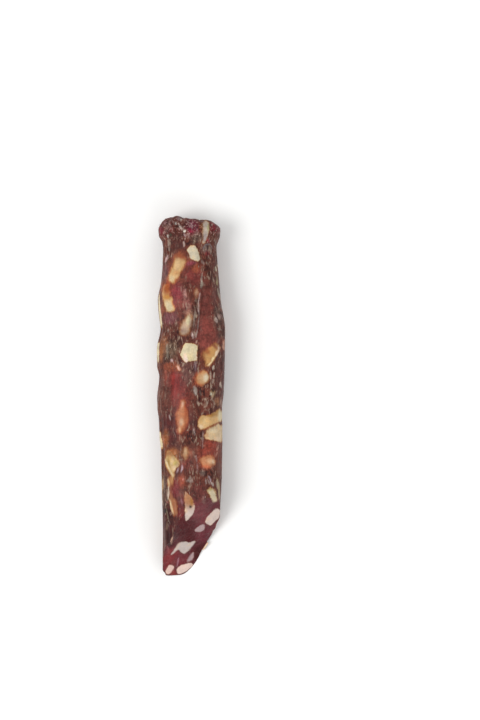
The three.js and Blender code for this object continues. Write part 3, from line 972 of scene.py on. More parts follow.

# Pale folds and creases, a few dark ones, and painted highlights on crinkles and fat edges:
# x and y of both ends, width, colour, strength
STREAKS = streaks(
    (-8.2, 110.6, -6.1, 106.8, 0.62, (214, 192, 180), 0.95),
    (-4.9, 103.8, -3.6, 101.8, 0.5, (176, 146, 146), 0.85),
    (-2.6, 103.6, -1, 101.4, 0.45, (154, 124, 124), 0.8),
    # The next two near-white streaks are painted highlights on crinkles of the blunt end
    (-10.3, 110.9, -9.9, 110.1, 0.75, (236, 230, 220), 1.0),
    (-4.9, 105.3, -3.9, 105.7, 0.8, (240, 232, 218), 1.0),
    (-6.9, 113.2, -6.3, 112.6, 0.6, (180, 172, 158), 0.8),
    (-15.1, 102.8, -14.7, 101.8, 0.75, (220, 214, 204), 0.95),
    (0.1, 110.6, 0.7, 107.4, 0.62, (198, 158, 162), 0.9),
    (0.1, 110.6, 2, 111.6, 0.4, (150, 104, 112), 0.8),
    (12.8, 110, 13.2, 109, 0.6, (166, 142, 132), 0.8),
    (-18.5, 108.9, -16.3, 106.6, 0.36, (140, 104, 94), 0.9),
    (-17.1, 109.4, -14.9, 106.9, 0.36, (140, 104, 94), 0.9),
    (-15.8, 109.8, -13.8, 107.5, 0.36, (136, 102, 92), 0.85),
    (-14.6, 110.6, -12.8, 108.6, 0.36, (156, 124, 116), 0.8),
    (-12.2, 112.4, -11, 109.6, 0.45, (150, 126, 120), 0.7),
    (-3, 112, -1.4, 110.6, 0.5, (160, 138, 130), 0.75),
    (-1.6, 109.8, -0.8, 108, 0.4, (150, 124, 118), 0.7),
    (3.4, 108, 4.2, 104.6, 0.5, (130, 96, 100), 0.7),
    (-14.9, 89.7, -16.6, 85.6, 0.7, (202, 168, 166), 0.9),
    (-14.6, 101, -14.4, 93, 0.8, (152, 134, 122), 0.7),
    (-4.8, 99, -4.7, 95.6, 0.55, (172, 152, 146), 0.8), (7.6, 94.2, 9, 97, 0.5, (96, 90, 92), 0.8),
    (9, 97, 12, 97.2, 0.5, (112, 106, 108), 0.8), (12, 97.2, 13.4, 94.4, 0.5, (124, 114, 112), 0.8),
    (12.5, 94, 12.5, 90.8, 0.6, (152, 136, 124), 0.75),
    (14.8, 99.8, 16, 96, 0.5, (140, 124, 112), 0.7),
    (6.2, 87, 8.2, 84.4, 0.8, (150, 130, 122), 0.6),
    (16.9, 84, 17.3, 82.2, 0.6, (188, 172, 138), 0.85),
    (15.6, 82.8, 15.9, 80.2, 0.55, (190, 180, 154), 0.85),
    (16.4, 77.4, 16.6, 70.8, 0.55, (144, 128, 94), 0.8),
    (16.6, 68.8, 19.2, 59.8, 0.5, (152, 138, 122), 0.85),
    (6.6, 78.4, 6.4, 69, 0.6, (160, 142, 130), 0.8), (6.5, 73, 6.7, 70, 0.9, (188, 176, 160), 0.85),
    (5.6, 66, 4.4, 59, 0.42, (172, 152, 146), 0.9), (4.4, 59, 4.8, 51, 0.4, (164, 144, 138), 0.85),
    (4.8, 51, 3.5, 41.4, 0.42, (158, 138, 130), 0.85),
    (3.5, 41.4, 2.9, 37.4, 0.4, (150, 132, 124), 0.8),
    (2.6, 56, 1.4, 44, 0.45, (138, 122, 112), 0.7),
    (-3.8, 68.4, -4.5, 63.4, 0.5, (166, 124, 116), 0.8),
    (-3.2, 72.8, -1, 72.1, 0.5, (62, 32, 34), 0.8), (-1, 72.1, 1, 73.4, 0.45, (66, 36, 36), 0.7),
    (15.8, 50, 16.4, 47.2, 0.9, (192, 172, 162), 0.9),
    (16.9, 43.2, 19.6, 42, 0.55, (150, 126, 114), 0.8),
    (0.3, 40.4, 1.3, 37, 0.6, (192, 172, 164), 0.85),
    (3.6, 35.4, 3, 33.6, 0.5, (180, 156, 140), 0.7),
    (-14.8, 42.6, -14.6, 41.4, 0.7, (164, 140, 128), 0.7),
    (-15.4, 33, -15, 24, 0.8, (134, 122, 108), 0.7),
    (-13.2, 23.2, -12.2, 22.4, 0.7, (206, 176, 174), 0.9),
    (4.7, 32.6, 4.6, 22.6, 0.75, (74, 52, 38), 0.85),
    (-16.4, 16.8, -16, 9.8, 0.8, (144, 80, 68), 0.6),
    (-3.5, 25.6, -3.2, 21.8, 0.6, (220, 200, 190), 0.9),
    (10.8, 19.4, 12.8, 21.9, 0.5, (224, 200, 158), 0.95),
    (12.8, 21.9, 15, 25.6, 0.6, (228, 204, 158), 0.95),
    (15, 25.6, 17.4, 29.8, 0.8, (222, 198, 168), 0.95),
    (20.2, 34.6, 20.6, 30, 0.6, (200, 152, 132), 0.8),
    (14, 19.4, 14.1, 16.4, 0.55, (190, 176, 160), 0.8),
    (14.5, 15, 14.2, 12, 0.5, (188, 172, 156), 0.8),
    (12.3, 15.6, 12.8, 10, 0.4, (176, 156, 140), 0.8),
    (13.9, 10.8, 13.4, 8, 0.5, (180, 162, 148), 0.8),
    (12.9, 6.8, 12.6, 4.8, 0.45, (172, 156, 142), 0.75),
    (18.5, 8.4, 19, 5.6, 0.7, (190, 172, 158), 0.85),
    (1.9, 5.8, 2.9, 1, 1.15, (154, 148, 140), 0.9), (5.6, 3.8, 6.4, 0.4, 0.5, (150, 134, 122), 0.8),
    (12.6, 1.8, 13, 0.4, 0.8, (192, 190, 170), 0.85),
    (3.8, -3.4, 4.1, -5.2, 0.55, (156, 136, 124), 0.75),
    (10.2, -3.4, 9.9, -5.6, 0.6, (172, 152, 138), 0.8),
    (18.6, -1, 19.6, -7, 0.6, (160, 128, 108), 0.7),
    (-14.2, -12.4, -13.4, -15.2, 0.55, (166, 146, 142), 0.85),
    (1.5, -21, 2, -25, 0.55, (158, 140, 134), 0.8),
    (7, -22.6, 7.4, -33.4, 0.5, (150, 122, 116), 0.85),
    (-7.6, -25, -7.4, -28.4, 0.45, (158, 122, 104), 0.7),
    (3.2, -38, 3.4, -42, 0.5, (152, 134, 130), 0.8),
    (3.8, -43, 4.2, -48.6, 0.5, (142, 112, 110), 0.7),
    (17.6, -31.6, 16.6, -34.6, 0.5, (176, 130, 112), 0.8),
    (16.4, -36, 15.4, -39, 0.5, (160, 120, 104), 0.7),
    # The next two streaks are the left edge of a piece of fat, brightened by a painted highlight
    # from the left
    (-16.7, -40.6, -14.2, -47, 0.5, (222, 202, 168), 0.95),
    (-14.2, -47, -11.6, -51, 0.6, (212, 190, 158), 0.9),
    (-5.9, -44.4, -6.6, -48.6, 0.6, (164, 138, 144), 0.9),
    (-8.8, -46, -9.2, -49, 0.5, (190, 160, 164), 0.7),
    (-0.8, -52.4, -0.2, -55, 1.4, (154, 138, 128), 0.85),
    (-3, -54.2, 1.2, -54.7, 0.6, (154, 136, 126), 0.8),
    (-5.1, -53, -4.8, -53.8, 0.5, (206, 148, 136), 0.9),
    # The next three streaks are the left edge of a piece of fat, brightened by a painted highlight
    # from the left
    (-14.9, -52.6, -14.4, -58, 0.5, (204, 180, 140), 0.9),
    (-14.8, -58, -14.7, -66, 0.45, (196, 178, 158), 0.85),
    (-14, -66, -11.4, -75.6, 0.6, (208, 184, 146), 0.95),
    (-6.4, -66, -5.8, -69.6, 0.6, (152, 112, 118), 0.7),
    (7.2, -64.4, 7.8, -68.8, 0.7, (136, 100, 94), 0.7),
    (11.2, -51.4, 12.6, -55, 0.65, (166, 146, 150), 0.85),
    (12.8, -55, 14.2, -57.6, 0.5, (164, 150, 142), 0.8),
    (10.4, -53.6, 12, -56.6, 0.42, (150, 134, 128), 0.8),
    (9.2, -53, 9.4, -56.4, 0.45, (146, 128, 122), 0.8),
    (16.4, -54, 17, -59, 0.7, (158, 148, 128), 0.7),
    (-15.6, -61.6, -15.2, -64.2, 0.5, (180, 160, 146), 0.8),
    (-15.8, -67.8, -15.2, -68.4, 0.8, (150, 96, 88), 0.8),
    (-15.6, -72, -14.6, -80, 0.5, (122, 108, 88), 0.8),
    (-15.6, -80, -15.8, -86, 0.4, (120, 102, 84), 0.6),
    (-12.2, -85, -11.8, -91, 0.45, (132, 104, 90), 0.6),
    # The next streak is a painted highlight down the dark glossy casing left of the cut
    (-11.8, -90, -13, -94.8, 0.55, (178, 142, 124), 0.85),
    (-18.4, -52.4, -18.5, -60, 0.7, (164, 136, 100), 0.85),
    (-18.6, -60, -18.6, -70, 0.4, (150, 124, 98), 0.6),
    (-15.4, -96, -14, -101, 0.5, (150, 84, 84), 0.8),
    (-8.2, -103.6, -9, -109, 0.55, (166, 120, 130), 0.8),
    (8.4, -21.4, 12, -19.6, 0.42, (146, 84, 54), 0.9),
    (12, -19.6, 17.6, -17.3, 0.5, (150, 86, 54), 0.95),
    (-1.5, -8, -1.7, -17, 0.6, (86, 48, 44), 0.7), (-17.8, 60, -17, 54, 0.5, (112, 68, 46), 0.8),
)


@dataclass(frozen=True)
class Marbling:
    """Fat, lean and bloom of the link: where each piece and tone lies."""

    fat: tuple[FatPiece, ...] = FAT_PIECES
    sides: tuple[RoundPiece, ...] = SIDE_PIECES
    face_fat: tuple[FatPiece, ...] = FACE_FAT
    face_tones: tuple[Tone, ...] = FACE_TONES
    tones: tuple[Tone, ...] = LEAN_TONES + FAT_TONES + PAINTED_PIT_SHADE
    bloom: tuple[Tone, ...] = BLOOM_TONES
    streaks: tuple[Streak, ...] = STREAKS
    bloom_base: float = 0.45
    hidden_count: int = 32
    hidden_top: float = 106
    hidden_length: float = 212
    hidden_angles: Point = (-160, -20)
    hidden_stray: Point = (0.1, 0.9)
    hidden_stretch: Point = (1.1, 2.2)
    hidden_slant: Point = (-0.5, 0.5)
    hidden_soft: Point = (0.4, 0.9)

    def hidden_spots(
        self, seed: int, colours: tuple[Colour, ...], sizes: Point
    ) -> tuple[RoundPiece, ...]:
        """Ovals spread over the underside, where nothing is seen from above.

        Args:
            seed: Seed of the random draw.
            colours: Colours to draw from.
            sizes: Smallest and largest half width.

        Returns:
            The ovals, the same on every run.
        """
        rng = np.random.default_rng(seed)
        spots = []
        for step in range(self.hidden_count):
            steps = (step + rng.uniform(*self.hidden_stray)) * self.hidden_length
            wide = rng.uniform(*sizes)
            spots.append(RoundPiece(
                rng.uniform(*self.hidden_angles), self.hidden_top - steps / self.hidden_count,
                wide, wide * rng.uniform(*self.hidden_stretch), rng.uniform(*self.hidden_slant),
                colours[rng.integers(len(colours))], rng.uniform(*self.hidden_soft),
            ))
        return tuple(spots)


@dataclass
class SkinPaint:
    """Works out what each point of the skin carries for its finishes.

    A piece lies where the camera sees it. Low on the sides and on the blunt end's face, which
    the camera doesn't see, pieces are set by angle and by height instead.
    """

    form: LinkForm
    marbling: Marbling
    points: Array
    angle: Array
    cut: Array
    cut_girth: float = 120
    ragged_share: float = 0.3
    under_ramp: Point = (-3, -0.3)
    lean_seed: int = 12
    lean_sizes: Point = (3.5, 7)
    lean_edge: Point = (3, 0.6)
    lean_share: float = 0.85
    fat_seed: int = 11
    fat_sizes: Point = (1.6, 4.2)
    bare_edge: float = 1.5
    streak_bare: float = 0.8
    fold_bloom: float = 0.25
    stray_x: Ripple = Ripple(0.5, 31, 3.7, 61)
    stray_y: Ripple = Ripple(0.7, 27, 4.6, 62)
    streak_stray: Ripple = Ripple(0.4, 58, 2.4, 64)
    streak_breaks: Ripple = Ripple(0.4, 64, 1.7, 65)
    streak_base: float = 0.85
    ragged_edge: Ripple = Ripple(1.6, 23, 3.1, 67)
    side_stray: Ripple = Ripple(0.04, 37, 2.9, 66)
    under_bloom: Ripple = Ripple(0.35, 9, 13.0, 63)
    end_zone: Point = (98, 6)
    face_zone: Point = (109, 3)
    face_top: Point = (26, 6)
    side_zone: Point = (-0.05, 0.4)
    front_girth: float = 19
    front_drop: float = 0.15
    face_drop: float = 23
    folds_in: float = 6
    corner_zone: Point = (-8, 5)
    corner_run: tuple[float, float, float] = (0.7, -0.7, 0.0)

    def __post_init__(self) -> None:
        """Works out where each point lies and is seen, and how much of it shows."""
        x, y, z = self.points.T
        off_cut = ~self.cut
        self.turns = np.where(self.cut, x / self.cut_girth, self.angle / math.tau)
        grown = magnified(z)
        self.seen_x = EYE[0] + (self.unfolded_x() - EYE[0]) * grown
        self.seen_y = EYE[1] + (y - EYE[1]) * grown
        self.x = self.seen_x + self.stray_x.height(self.turns, y)
        self.y = self.seen_y + self.stray_y.height(self.turns, y)
        rise = np.arcsin(np.sin(self.angle))
        self.end = ease((y - self.end_zone[0]) / self.end_zone[1]) * off_cut
        self.face = ease((y - self.face_zone[0]) / self.face_zone[1]) * off_cut
        self.shown = 1 - self.face * ease((self.face_top[0] - z) / self.face_top[1])
        below = ease((self.side_zone[0] - rise) / self.side_zone[1])
        self.upper = np.minimum(self.shown, 1 - below * (1 - self.end) * off_cut)
        steep, offset = self.under_ramp
        self.under = ease(steep * np.sin(self.angle) + offset) * off_cut
        ragged = self.ragged_edge.height(self.turns, y)
        front = np.where(self.cut, FAR, self.front_girth * (rise + self.front_drop) + ragged)
        face = np.where(self.face > 0.5, z - self.face_drop + ragged, FAR)
        self.front = np.minimum(front, face)
        self.across, self.height = x + self.ragged_share * ragged, z + self.ragged_share * ragged
        self.turned = self.angle + self.side_stray.height(self.turns, y)
        count = len(self.points)
        self.lean = np.where(self.cut[:, None], surface(CUT_LEAN), surface(LEAN))
        self.fat = np.broadcast_to(np.array(surface(CREAM)), self.lean.shape).copy()
        self.edge, self.soft = np.full(count, -FAR), np.full(count, 0.5)
        self.bloom = np.full(count, self.marbling.bloom_base)

    def unfolded_x(self) -> Array:
        """Places from side to side, with the underside folded out past the side edges."""
        x = self.points[:, 0]
        section = self.form.section(self.points[:, 1])
        folded = np.where(x > section.x, 2 * section.right - x, 2 * section.left - x)
        edge = np.clip((x - section.x) / section.half_width, -1, 1)
        under = (np.sin(self.angle) < 0) & ~self.cut & (np.abs(edge) <= 1)
        return np.where(under, folded, x)

    def lay(self, piece: FatPiece | RoundPiece, gap: Array) -> None:
        """Lays a piece of fat where it is nearer than those before it."""
        nearer = gap > self.edge
        self.edge[nearer], self.soft[nearer] = gap[nearer], piece.soft
        self.fat[nearer] = surface(piece.colour)

    def blend(self, tint: Array, colour: Colour, weight: Array) -> None:
        """Blends a colour into a tint."""
        tint += (np.array(surface(colour)) - tint) * weight[:, None]

    def lay_fat(self) -> None:
        """Lays every piece of fat: on top, on the blunt end's face, on the sides, underneath."""
        marbling = self.marbling
        for piece in marbling.fat:
            self.lay(piece, np.minimum(piece.distance(self.x, self.y), self.front))
        for piece in marbling.face_fat:
            gap = piece.distance(self.across, self.height)
            self.lay(piece, np.where(self.face > 0.5, gap, -FAR))
        for piece in marbling.sides:
            self.lay(piece, np.where(self.cut, -FAR, piece.distance(self.turned, self.y)))
        colours = (CREAM, BUTTER, OCHRE, AMBER, CREAM)
        for spot in marbling.hidden_spots(self.fat_seed, colours, self.fat_sizes):
            self.lay(spot, np.where(self.cut, -FAR, spot.distance(self.angle, self.y)))

    def lay_tones(self) -> None:
        """Lays the tones of lean and fat, those of the underside first."""
        marbling = self.marbling
        colours = (RED_LEAN, BURGUNDY, DARK_LEAN, RUST)
        fade, offset = self.lean_edge
        for spot in marbling.hidden_spots(self.lean_seed, colours, self.lean_sizes):
            near = ease(spot.distance(self.angle, self.y) / fade + offset)
            self.blend(self.lean, spot.colour, self.lean_share * self.under * near)
        for tone in marbling.face_tones:
            self.blend(self.lean, tone.colour, tone.weight(self.across, self.height) * self.face)
        for tone in marbling.tones:
            weight = tone.weight(self.x, self.y) * self.upper
            if tone.layer is not Layer.FAT:
                self.blend(self.lean, tone.colour, weight)
            if tone.layer is not Layer.LEAN:
                self.blend(self.fat, tone.colour, weight)

    def dust(self) -> None:
        """Lays the bloom, and the streaks, which show little of it."""
        y, mottle = self.points[:, 1], self.under_bloom
        self.bloom += self.under * mottle.depth * mottle.noise(self.turns, y)
        for tone in self.marbling.bloom:
            self.bloom += (tone.colour[0] - self.bloom) * tone.weight(self.x, self.y)
        strayed = self.seen_x + self.streak_stray.height(self.turns, y)
        broken = self.streak_base + self.streak_breaks.height(self.turns, y)
        for streak in self.marbling.streaks:
            weight = np.clip(streak.weight(strayed, self.seen_y) * broken, 0, 1) * self.shown
            self.blend(self.lean, streak.colour, weight)
            self.blend(self.fat, streak.colour, weight)
            self.bloom *= 1 - self.streak_bare * weight
        self.bloom = np.where(self.cut, 0.0, np.clip(self.bloom, 0, 1))

    def fold_run(self) -> Array:
        """Which way the fine folds of the casing run: along it, and inwards at the blunt end.

        Returns:
            A unit vector for each point.
        """
        end = self.end
        middle = self.form.section(np.array(self.form.lip_y))
        out = self.points - [float(middle.x), 0, float(middle.z)]
        drawn_in = np.stack([out[:, 0], self.folds_in + 0 * out[:, 0], out[:, 2]], axis=-1)
        drawn_in /= np.linalg.norm(drawn_in, axis=1, keepdims=True)
        start, fade = self.corner_zone
        corner = (ease((start - self.points[:, 0]) / fade) * end)[:, None]
        run = np.array([0.0, 1.0, 0.0]) * (1 - end[:, None]) + drawn_in * end[:, None]
        run = run * (1 - corner) + np.array(self.corner_run) * corner
        return run / np.linalg.norm(run, axis=1, keepdims=True)

    def layers(self) -> dict[str, Array]:
        """Lays the fat, the tones and the bloom.

        Returns:
            Arrays by attribute name: two tints, the fat's edge and softness, the bloom, the blunt
            end, where flecks and folds lie, and which way the folds run.
        """
        self.lay_fat()
        self.lay_tones()
        self.dust()
        bare, off_cut = ease(-self.edge / self.bare_edge), ~self.cut
        folds = np.clip(bare * (self.fold_bloom * self.bloom**2 + self.end), 0, 1)
        return {
            "lean_tint": self.lean,
            "fat_tint": self.fat,
            "fat_edge": np.clip(self.edge, -FAR, FAR),
            "fat_soft": self.soft,
            "bloom": self.bloom,
            "end": self.end,
            "fleck_field": bare * self.bloom**2 * off_cut,
            "fold_field": folds * off_cut,
            "fold_run": self.fold_run(),
        }


@dataclass
class LinkSkin:
    """The link's closed skin: its points, its faces and what they carry."""

    form: LinkForm = field(default_factory=LinkForm)
    marbling: Marbling = field(default_factory=Marbling)
    around: int = 300
    rows: int = 236
    end_rows: int = 30
    cut_rows: int = 44
    end_crowding: float = 1.5
    smallest_ring: float = 0.012
    largest_ring: float = 0.999
    sharp_degrees: float = 38
    name: str = "sausage_link"
    shift: Point = (0.0, 0.0)

    def rings(self) -> tuple[Array, Array, Array]:
        """Rings of points from the blunt end's middle, over the casing, to the middle of the cut.

        Returns:
            The points of all rings, the angle of each ring's points, and each ring's surface.
        """
        form, angle = self.form, np.arange(self.around) * (math.tau / self.around)
        rim = form.cut_rim(angle)
        shares = 1 - np.linspace(1, 0, self.end_rows + 1)[:-1] ** self.end_crowding
        shares = np.clip(shares, self.smallest_ring, self.largest_ring)
        end = [form.blunt_end(angle, share) for share in shares]
        skin = [
            form.casing(angle, form.lip_y + (rim[:, 1] - form.lip_y) * i / self.rows)
            for i in range(self.rows)
        ] + [rim]
        shares = np.linspace(1, self.smallest_ring, self.cut_rows + 1)[1:]
        cut = [form.cut_face(angle, rim, share) for share in shares]
        sides = [Surface.CASING.value] * (len(end) + len(skin)) + [Surface.CUT.value] * len(cut)
        return np.array(end + skin + cut), angle, np.array(sides)

    def store(self, mesh: bpy.types.Mesh, layers: dict[str, Array]) -> None:
        """Stores each layer on the mesh as an attribute of its points."""
        for key, values in layers.items():
            kind, entry = ("FLOAT", "value") if values.ndim == 1 else ("FLOAT_COLOR", "color")
            if key == "fold_run":
                kind, entry = "FLOAT_VECTOR", "vector"
            if kind == "FLOAT_COLOR":
                values = np.hstack([values, np.ones((len(values), 1))])
            data = mesh.attributes.new(key, kind, "POINT").data
            data.foreach_set(entry, values.astype(np.float32).ravel())

    def build(self) -> bpy.types.Object:
        """Makes the link as one object with its attributes.

        Returns:
            The object, linked to the scene.
        """
        loops, angle, sides = self.rings()
        count, start = len(loops), angle[:1]
        end_middle = self.form.blunt_end(start, 0.0)[0]
        cut_middle = self.form.cut_face(start, loops[0][:1], 0.0)[0]
        points = np.vstack([loops.reshape(-1, 3), end_middle, cut_middle])
        angles = np.concatenate([np.tile(angle, count), [0.0, 0.0]])
        on_cut = np.repeat(sides == Surface.CUT.value, self.around)
        on_cut = np.concatenate([on_cut, [False, True]])
        layers = SkinPaint(self.form, self.marbling, points, angles, on_cut).layers()
        low, high = points.min(axis=0), points.max(axis=0)
        shift = (np.array(CAD_BOX[0]) + np.array(CAD_BOX[1])) / 2 / MM - (low + high) / 2
        self.shift = (float(shift[0]), float(shift[1]))
        slots = np.repeat([*sides[1:], Surface.CASING.value, Surface.CUT.value], self.around)
        mesh = new_mesh(self.name, points + [*self.shift, 0], count, slots.tolist())
        mesh.set_sharp_from_angle(angle=math.radians(self.sharp_degrees))
        self.store(mesh, layers)
        mesh.update()
        return new_object(self.name, mesh)


@dataclass(frozen=True)
class Noise:
    """Settings of a noise texture."""

    scale: float
    detail: float = 3.0
    rough: float = 0.6
    bend: float = 0.0


class NodeTree:
    """A thin helper that adds nodes to a tree and links them."""

    def __init__(self, tree: bpy.types.NodeTree) -> None:
        """Keeps the tree that nodes are added to."""
        self.tree = tree

    def add(
        self, kind: str, inputs: dict[str | int, object] | None = None, **settings: object
    ) -> bpy.types.Node:
        """Adds a node.

        Args:
            kind: The node's type.
            inputs: Values or output sockets by input name or number.
            settings: Properties of the node.

        Returns:
            The node.
        """
        node = self.tree.nodes.new(kind)
        for key, value in settings.items():
            setattr(node, key, value)
        for key, value in (inputs or {}).items():
            self.feed(node.inputs[key], value)
        return node

    def feed(self, socket: Socket, value: object) -> None:
        """Links a socket to an output, or sets its value."""
        if isinstance(value, Socket):
            self.tree.links.new(value, socket)
        elif isinstance(value, tuple) and len(value) == 3 and socket.type == "RGBA":
            socket.default_value = (*value, 1.0)
        else:
            socket.default_value = value

    def math(self, operation: str, first: object, second: object) -> Socket:
        """Output of a math node."""
        return self.add("ShaderNodeMath", {0: first, 1: second}, operation=operation).outputs[0]

    def times(self, first: object, second: object) -> Socket:
        """Product of two numbers."""
        return self.math("MULTIPLY", first, second)

    def plus(self, first: object, second: object) -> Socket:
        """Sum of two numbers."""
        return self.math("ADD", first, second)

    def minus(self, first: object, second: object) -> Socket:
        """Difference of two numbers."""
        return self.math("SUBTRACT", first, second)

    def vector(self, operation: str, first: object, second: object) -> Socket:
        """Output of a vector math node."""
        node = self.add("ShaderNodeVectorMath", {0: first, 1: second}, operation=operation)
        return node.outputs[0]

    def mixed(
        self, kind: str, factor: object, first: object, second: object, by: str = "Float",
        **settings: object,
    ) -> Socket:
        """Output of a mix node.

        Args:
            kind: What is mixed, as in the names of the node's sockets.
            factor: How much of the second shows.
            first: What shows where the factor is 0.
            second: What shows where the factor is 1.
            by: The kind of the factor.
            settings: Properties of the node.

        Returns:
            The output socket.
        """
        node = self.add("ShaderNodeMix", **settings)
        for key, value in ((f"Factor_{by}", factor), (f"A_{kind}", first), (f"B_{kind}", second)):
            self.feed(next(s for s in node.inputs if s.identifier == key), value)
        return next(s for s in node.outputs if s.identifier == f"Result_{kind}")

    def mix(self, factor: object, first: object, second: object, blend: str = "MIX") -> Socket:
        """Output of a colour mix."""
        return self.mixed(
            "Color", factor, first, second, data_type="RGBA", blend_type=blend, clamp_factor=True
        )

    def remap(self, value: object, low: object, high: object, to: Point = (0, 1)) -> Socket:
        """Value eased from one range to another."""
        inputs = {"Value": value, "From Min": low, "From Max": high}
        inputs |= {"To Min": to[0], "To Max": to[1]}
        return self.add("ShaderNodeMapRange", inputs, interpolation_type="SMOOTHSTEP").outputs[0]

    def noise(self, vector: object, kind: Noise, output: str = "Fac") -> Socket:
        """Output of a noise texture."""
        return self.add("ShaderNodeTexNoise", {
            "Vector": vector, "Scale": kind.scale, "Detail": kind.detail,
            "Roughness": kind.rough, "Distortion": kind.bend,
        }).outputs[output]

    def attribute(self, name: str, output: str = "Fac") -> Socket:
        """Output of a mesh attribute."""
        return self.add("ShaderNodeAttribute", attribute_name=name).outputs[output]

    def creases(self, place: Socket, spacing: Point) -> bpy.types.NodeOutputs:
        """Outputs of the drawn creases, of so many across and along to the metre."""
        inputs = {"Vector": place, "Across": spacing[0], "Along": spacing[1]}
        return self.add("ShaderNodeGroup", inputs, node_tree=DrawnCreases().group()).outputs

    def flesh(self, place: Socket, **inputs: object) -> bpy.types.NodeOutputs:
        """Outputs of the marbled flesh, fed with what the skin carries."""
        carried = {
            "Vector": place, "Lean": self.attribute("lean_tint", "Color"),
            "Fat": self.attribute("fat_tint", "Color"), "Edge": self.attribute("fat_edge"),
            "Softness": self.attribute("fat_soft"),
        }
        group = MarbledFlesh().group()
        return self.add("ShaderNodeGroup", carried | inputs, node_tree=group).outputs


def new_group(
    name: str, inputs: dict[str, float | str], outputs: dict[str, str]
) -> tuple[bpy.types.NodeTree, NodeTree, bpy.types.NodeOutputs, bpy.types.Node]:
    """Starts a shader node group.

    Args:
        name: The group's name.
        inputs: By name, the default of a number or the socket type of anything else.
        outputs: Socket types by name.

    Returns:
        The group, its helper, its inputs as seen inside, and its output node.
    """
    tree = bpy.data.node_groups.new(name, "ShaderNodeTree")
    for label, given in inputs.items():
        kind = given if isinstance(given, str) else FLOAT
        socket = tree.interface.new_socket(name=label, in_out="INPUT", socket_type=kind)
        if kind != given:
            socket.default_value = given
    for label, kind in outputs.items():
        tree.interface.new_socket(name=label, in_out="OUTPUT", socket_type=kind)
    helper = NodeTree(tree)
    return tree, helper, helper.add("NodeGroupInput").outputs, helper.add("NodeGroupOutput")


def new_material(name: str) -> tuple[bpy.types.Material, NodeTree, Socket]:
    """Starts a material.

    Args:
        name: The material's name.

    Returns:
        The material, its helper, and the place on the object.
    """
    material = bpy.data.materials.new(name)
    material.use_nodes = True
    material.node_tree.nodes.clear()
    helper = NodeTree(material.node_tree)
    return material, helper, helper.add("ShaderNodeTexCoord").outputs["Object"]


@dataclass(frozen=True)
class Gloss:
    """Shine and fine relief of a finish: bump strength, bump depth in metres and specular."""

    strength: float
    depth: float
    specular: float

    def dress(self, t: NodeTree, colour: Socket, rough: Socket | float, height: Socket) -> None:
        """Ends a material with its shader.

        Args:
            t: The material's helper.
            colour: Colour of the surface.
            rough: Roughness of the surface.
            height: Height of its fine relief.
        """
        bump = t.add("ShaderNodeBump", {
            "Height": height, "Strength": self.strength, "Distance": self.depth,
        })
        shader = t.add("ShaderNodeBsdfPrincipled", {
            "Base Color": colour, "Roughness": rough, "Normal": bump.outputs[0],
            "Specular IOR Level": self.specular,
        })
        t.add("ShaderNodeOutputMaterial", {"Surface": shader.outputs[0]})


@dataclass(frozen=True)
class DrawnCreases:
    """Shared effect: creases or knife marks drawn out in one direction."""

    name: str = "drawn_creases"
    spacing: Point = (700.0, 160.0)
    wander: Noise = Noise(110.0, 2.0, 0.5)
    sway: tuple[float, float, float] = (0.004, 0.0, 0.004)
    coarse: Noise = Noise(1.0, 3.0, 0.6, 0.4)
    coarse_share: float = 0.68
    finer: Noise = Noise(2.1, 2.0, 0.55, 0.2)
    finer_share: float = 0.32
    mottle: Noise = Noise(300.0)
    dark: Point = (0.475, 0.4)
    light: Point = (0.53, 0.61)

    def group(self) -> bpy.types.NodeTree:
        """The shader group, built once.

        Returns:
            A group that puts out dark creases, light ridges, a broader mottle and a height.
        """
        if self.name in bpy.data.node_groups:
            return bpy.data.node_groups[self.name]
        tree, t, given, end = new_group(
            self.name,
            {"Vector": VECTOR, "Across": self.spacing[0], "Along": self.spacing[1]},
            {"Dark": FLOAT, "Light": FLOAT, "Mottle": FLOAT, "Height": FLOAT},
        )
        place, across = given["Vector"], given["Across"]
        wander = t.noise(place, self.wander, "Color")
        sway = t.vector("MULTIPLY", t.vector("SUBTRACT", wander, (0.5, 0.5, 0.5)), self.sway)
        moved = t.vector("ADD", place, sway)
        stretch = t.add("ShaderNodeCombineXYZ", {"X": across, "Y": given["Along"], "Z": across})
        drawn = t.vector("MULTIPLY", moved, stretch.outputs[0])
        coarse = t.times(t.noise(drawn, self.coarse), self.coarse_share)
        finer = t.times(t.noise(drawn, self.finer), self.finer_share)
        tone = t.plus(coarse, finer)
        t.feed(end.inputs["Dark"], t.remap(tone, *self.dark))
        t.feed(end.inputs["Light"], t.remap(tone, *self.light))
        t.feed(end.inputs["Mottle"], t.noise(moved, self.mottle))
        t.feed(end.inputs["Height"], tone)
        return tree


